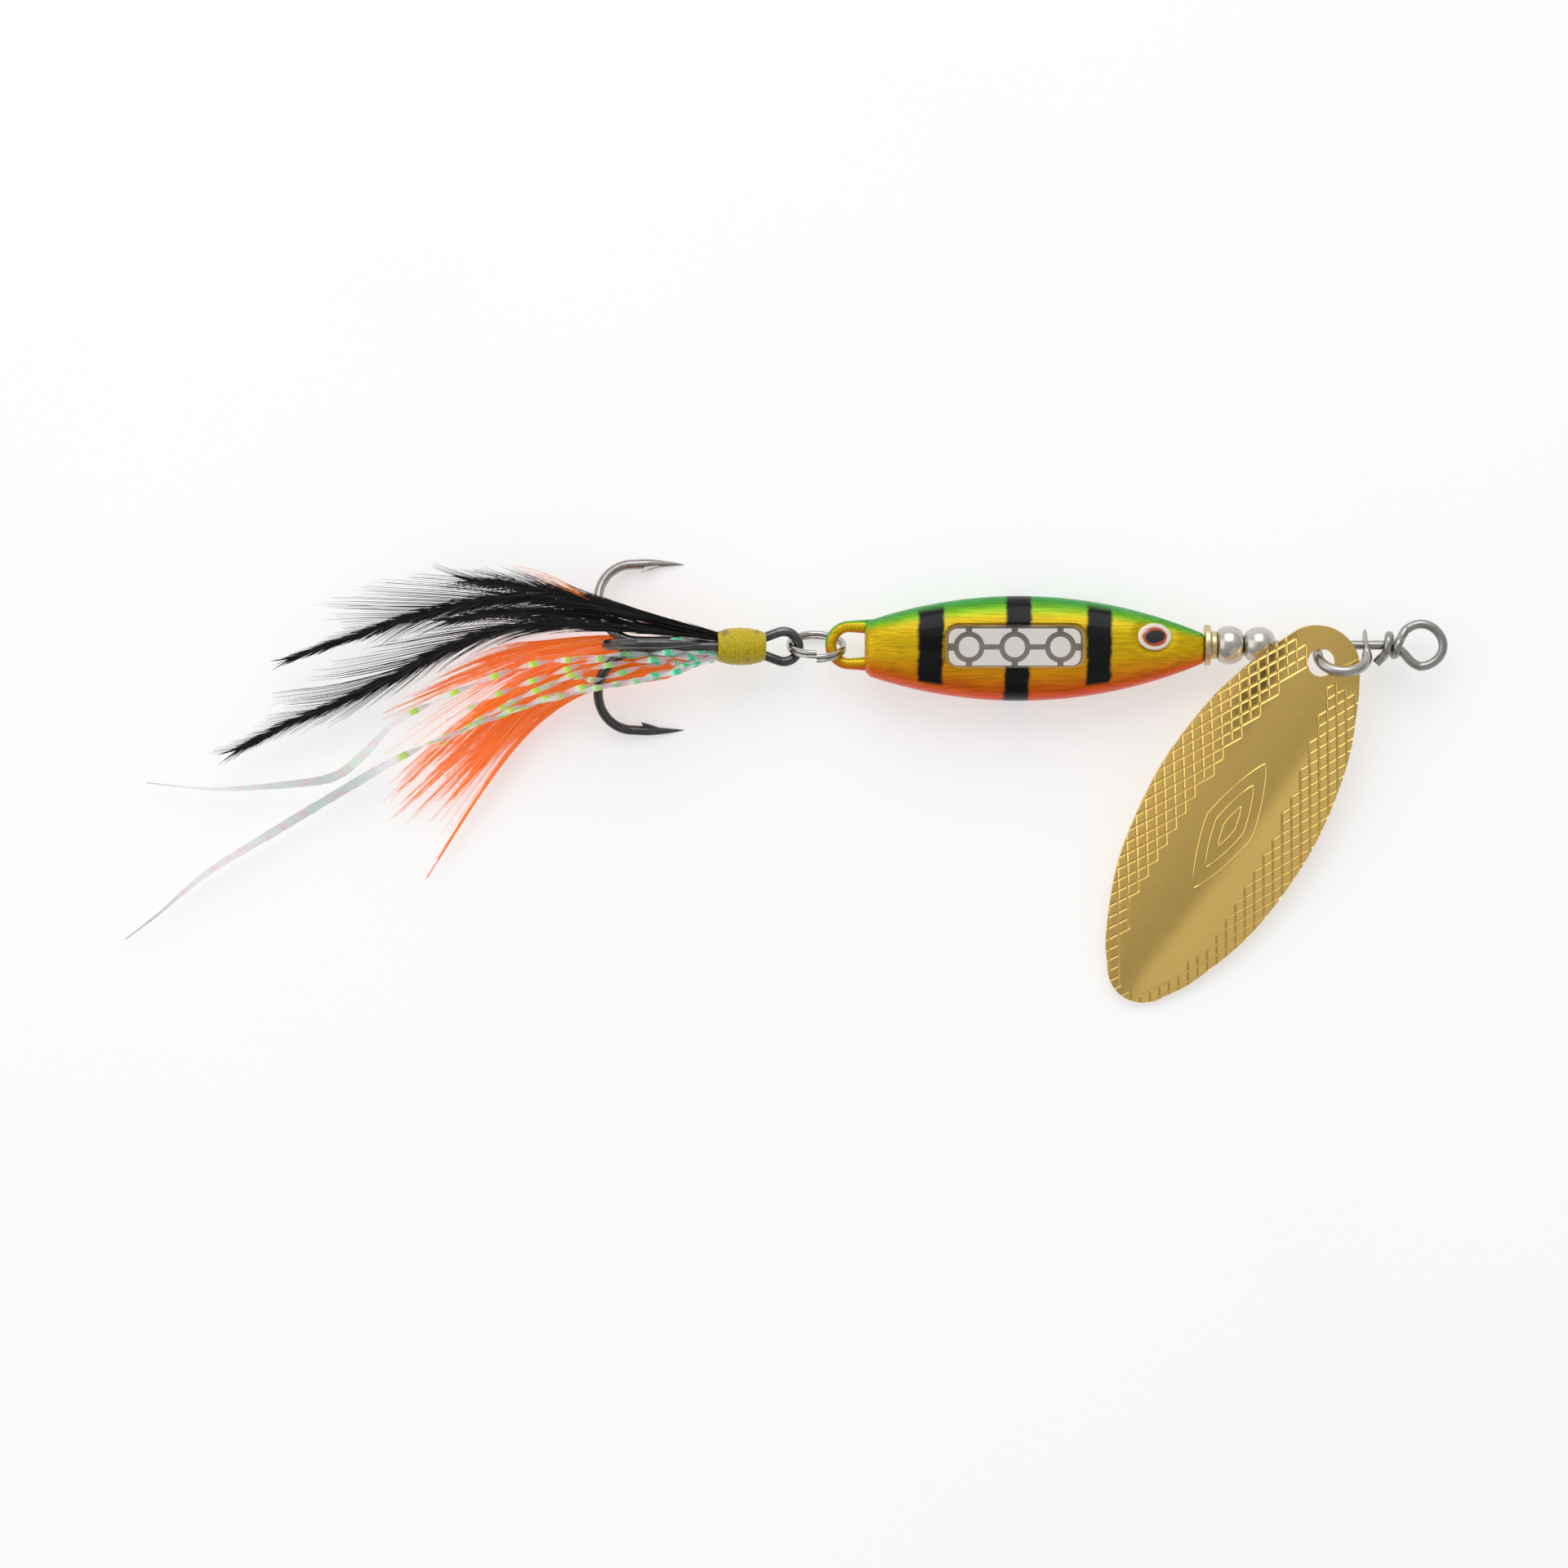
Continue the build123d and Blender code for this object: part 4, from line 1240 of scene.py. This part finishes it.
def make_orange_plumes(material):
    samples = [fan_line(k / 100) for k in range(101)]
    for n, (first, last, count, clumps) in enumerate(PLUMES):
        rng = random.Random(70 + n)
        tuft = Tuft()
        for m in range(count):
            home, reach = rng.choice(clumps)
            start = home + rng.gauss(0, 0.10)
            start = min(max(start, first), last)
            reach *= 1 - abs(rng.gauss(0, 0.12))
            pale = rng.random() < 0.26
            if pale:
                home = rng.uniform(first, last)
                reach = rng.uniform(0.6, 0.93)
            if not pale and rng.random() < 0.25:
                home = start + rng.gauss(0, 0.02)
            end = home + rng.gauss(0, 0.009 if not pale else 0.03)
            level = 1.1 - 0.9 * start + rng.uniform(-0.8, 0.7)
            wave = rng.uniform(0, 6.28)
            points = []
            steps = 20
            for k in range(steps + 1):
                t = k / steps
                gather = smoothstep(0.25, 1.0, t) ** 2.0
                place = start + (end - start) * gather
                line = samples[int(min(max(place, 0), 1) * 100)]
                upper = samples[min(int(min(max(place, 0), 1) * 100) + 1, 100)]
                mix = min(max(place, 0), 1) * 100 % 1
                a = point_on(line, t * reach * 0.999)[0]
                b = point_on(upper, t * reach * 0.999)[0]
                spot = a.lerp(b, mix)
                spot.y += 0.10 * math.sin(wave + 9 * t) * t
                spot.z = max(height_at(spot.x, level, 0.078), TABLE_Z + 0.15 + 0.004 * (m % 40))
                points.append(spot)
            width = (0.03 if pale else 0.062) * rng.uniform(0.75, 1.25)
            widths = [width * (1.0 - 0.72 * (k / steps) ** 2) for k in range(steps + 1)]
            tone = rng.uniform(0.85, 1.0) if pale else rng.uniform(0.0, 0.7)
            tuft.ribbon(points, widths, rng.uniform(-0.5, 0.5), tone)
        for strays in range(4 if n == 0 else 0):
            lift = strays / 3
            points = catmull([(-69.2, 0.5, 1.5), (-75.0, 1.9, 1.5), (-79.6, 3.6, 2.0),
                              (-84.0 - lift, 5.5 + 1.1 * lift, 3.4),
                              (-86.4 - 2 * lift, 6.3 + 1.3 * lift, 4.1)], 6)
            widths = [0.055 * (1 - 0.6 * k / len(points)) for k in range(len(points))]
            tuft.ribbon(points, widths, 0.1, rng.uniform(0.2, 0.8))
        tuft.make(f"orange_marabou_{n + 1}", "treble", [f"orange_plume_{n + 1}"], material)


# The route of each film strand seen from above. The extra ones stand for no CAD node.
FLASH_LINES = [
    [(-68.4, -0.6), (-69.2, -0.9), (-72.2, -1.8), (-75.0, -1.8), (-80.6, -3.4), (-83.2, -3.2), (-88.6, -5.4),
     (-93.8, -8.2), (-100.0, -11.0), (-105.6, -14.2), (-112.3, -18.2), (-119.0, -22.3), (-123.8, -26.3),
     (-127.2, -28.9)],
    [(-68.4, -0.5), (-69.2, -0.7), (-75.8, -1.0), (-81.4, -1.4), (-87.0, -1.9), (-93.6, -4.2), (-100.2, -7.4),
     (-103.4, -10.5), (-106.3, -12.8), (-110.6, -13.6), (-118.2, -14.1), (-125.0, -13.5)],
    [(-68.4, -0.7), (-69.2, -1.1), (-73.2, -2.4), (-77.8, -3.7), (-83.2, -4.4), (-88.8, -6.4), (-94.4, -8.6),
     (-99.0, -10.2)],
    [(-68.4, -0.5), (-69.2, -0.7), (-78.6, -1.1), (-84.8, -2.8), (-90.8, -5.0), (-95.5, -7.4)],
    [(-68.4, -0.7), (-69.2, -1.0), (-74.0, -1.4), (-80.6, -2.2), (-86.0, -4.2), (-91.2, -6.8), (-96.2, -9.4)],
    [(-68.4, -0.8), (-69.2, -1.2), (-75.0, -3.2), (-80.6, -4.2), (-86.2, -5.5), (-91.8, -7.5),
     (-97.0, -10.4)],
]
FLASH_EXTRA = [
    [(-68.4, 0.3), (-69.4, 0.5), (-72.9, 0.4), (-75.6, -0.2)],
    [(-68.4, 0.2), (-69.4, -0.6), (-72.6, -0.75), (-77.0, -0.9), (-83.0, -1.2)],
    [(-68.4, -0.8), (-69.2, -1.4), (-74.0, -3.0), (-79.5, -4.0), (-85.0, -5.3), (-90.0, -7.0)],
]
FLASH_TWIST = 3.2


def ribbon_mesh(line, step, half_width, phase, rng):
    """A film strip that turns about its own length, wide and flat on the free tail."""
    verts = []
    along = []
    tail = []
    count = len(line)
    turn = phase
    for i, point in enumerate(line):
        ahead = (line[min(i + 1, count - 1)] - line[max(i - 1, 0)]).normalized()
        flat = Vector((-ahead.y, ahead.x, 0)).normalized()
        up = ahead.cross(flat)
        free = smoothstep(-98.0, -104.0, point.x)
        turn += math.pi * step / FLASH_TWIST * (1 - 0.92 * free)
        if free < 0.02:
            flat_turn = round(turn / math.pi + 0.4) * math.pi
        lean = turn + (flat_turn - turn) * free + 0.35 * free * math.sin(i * 0.11)
        side = flat * math.cos(lean) + up * math.sin(lean)
        face = ahead.cross(side) * 0.02
        taper = 1 - 0.85 * smoothstep(0.72, 1.0, i / count)
        width = (half_width + 0.16 * free) * taper * rng.uniform(0.92, 1.08)
        for a, b in ((1, 1), (-1, 1), (-1, -1), (1, -1)):
            verts.append(point + side * width * a + face * b)
            along.append(turn / math.pi)
            tail.append(free)
    return verts, ring_faces(count, 4) + end_faces(count, 4), along, tail


def make_flash(material):
    for n, points in enumerate(FLASH_LINES + FLASH_EXTRA):
        rng = random.Random(90 + n)
        extra = n >= len(FLASH_LINES)
        level = 2.55 + 0.07 * n if not extra else 3.1 + 0.05 * (n - len(FLASH_LINES))
        line = catmull([(x, y, max(height_at(x, level, 0.080), TABLE_Z + 0.45)) for x, y in points], 10)
        length = sum((b - a).length for a, b in zip(line, line[1:]))
        steps = int(length / 0.3)
        even = [point_on(line, i / steps)[0] for i in range(steps + 1)]
        verts, faces, along, tail = ribbon_mesh(even, length / steps, 0.30, rng.uniform(0, 3), rng)
        values = {"along": along, "tail": tail, "tone": [0.37 * n % 1.0] * len(verts)}
        obj = new_object(f"flash_film_{n + 1}", verts, faces, values)
        nodes = [] if extra else [f"flash_strand_{n + 1}"]
        finish_piece(obj, "treble", nodes, material, 60)


def dress_cad_nodes(materials):
    """CAD nodes whose own shape is right get a material; the window grille also gets softened edges."""
    for node, key in (("bearing_collar", "brass"), ("nose_washer", "brass"), ("window_grille", "grille"),
                      ("split_ring", "nickel")):
        obj = frame["nodes"][node]
        obj.data.materials.clear()
        obj.data.materials.append(materials[key])
        if node == "window_grille":
            bevel = obj.modifiers.new("edge", "BEVEL")
            bevel.width = 0.05 * MM
            bevel.segments = 2
            bevel.limit_method = "ANGLE"


# ------------------------------------------------------------------- the studio

VIEW_CENTRE = Vector((-62.4, -13.6, 0))
VIEW_DISTANCE = 512.0


def make_studio(material):
    floor = new_object("floor", [(-2000, -2000, TABLE_Z), (2000, -2000, TABLE_Z), (2000, 2000, TABLE_Z),
                                 (-2000, 2000, TABLE_Z)], [(0, 1, 2, 3)])
    floor.data.materials.append(material)
    camera = bpy.data.objects.new("camera", bpy.data.cameras.new("camera"))
    camera.data.lens = 120
    camera.data.clip_start = 0.01
    camera.data.clip_end = 20
    camera.location = (VIEW_CENTRE + Vector((0, 0, VIEW_DISTANCE))) * MM
    bpy.context.scene.collection.objects.link(camera)
    bpy.context.scene.camera = camera
    for name, place, size, power, aim in (
            ("key", (-60, 480, 420), 0.50, 1.6, (-50, -5, 0)),
            ("fill", (300, -460, 380), 0.60, 0.35, (-40, -10, 0)),
            ("tail", (-520, 60, 330), 0.50, 0.6, (-80, -5, 0))):
        light = bpy.data.lights.new(name, "AREA")
        light.size = size
        light.energy = power
        lamp = bpy.data.objects.new(name, light)
        lamp.location = Vector(place) * MM
        lamp.rotation_euler = (Vector(aim) - Vector(place)).to_track_quat("-Z", "Y").to_euler()
        bpy.context.scene.collection.objects.link(lamp)
    make_world()
    bpy.context.scene.view_settings.view_transform = "Standard"


def make_world():
    """A bright studio with one dark side that polished metal can pick up."""
    world = bpy.data.worlds.new("studio")
    bpy.context.scene.world = world
    world.use_nodes = True
    graph = Graph(world.node_tree)
    around = graph.node("TexCoord").outputs["Generated"]

    def facing(direction):
        inputs = {0: around, 1: Vector(direction).normalized()}
        return graph.node("VectorMath", inputs, operation="DOT_PRODUCT").outputs["Value"]

    patch = graph.span(facing((-0.02, 0.10, 0.99)), 0.9905, 0.9975, 1.0, 0.03)
    slope = graph.span(facing((-0.35, 0.9, 0.2)), -0.8, 0.8, 0.36, 1.05, "LINEAR")
    back = world.node_tree.nodes["Background"]
    graph.feed(back.inputs["Color"], graph.times(patch, slope))
    back.inputs["Strength"].default_value = 0.70


def main():
    materials = make_materials()
    make_studio(materials["floor"])
    make_wire_shaft(materials["wire"])
    make_clevis(materials["clevis"])
    make_beads(materials)
    make_blade(materials["gold"])
    make_blade_emblem(materials["gold"])
    make_body(materials["body"])
    make_fish_eye("fish_eye_near", 1, materials["eye"])
    make_fish_eye("fish_eye_far", -1, materials["eye"])
    make_hooks(materials["hook"])
    make_thread_wrap(materials["thread"])
    make_black_feathers(materials["black"])
    make_orange_plumes(materials["orange"])
    make_flash(materials["flash"])
    dress_cad_nodes(materials)


main()
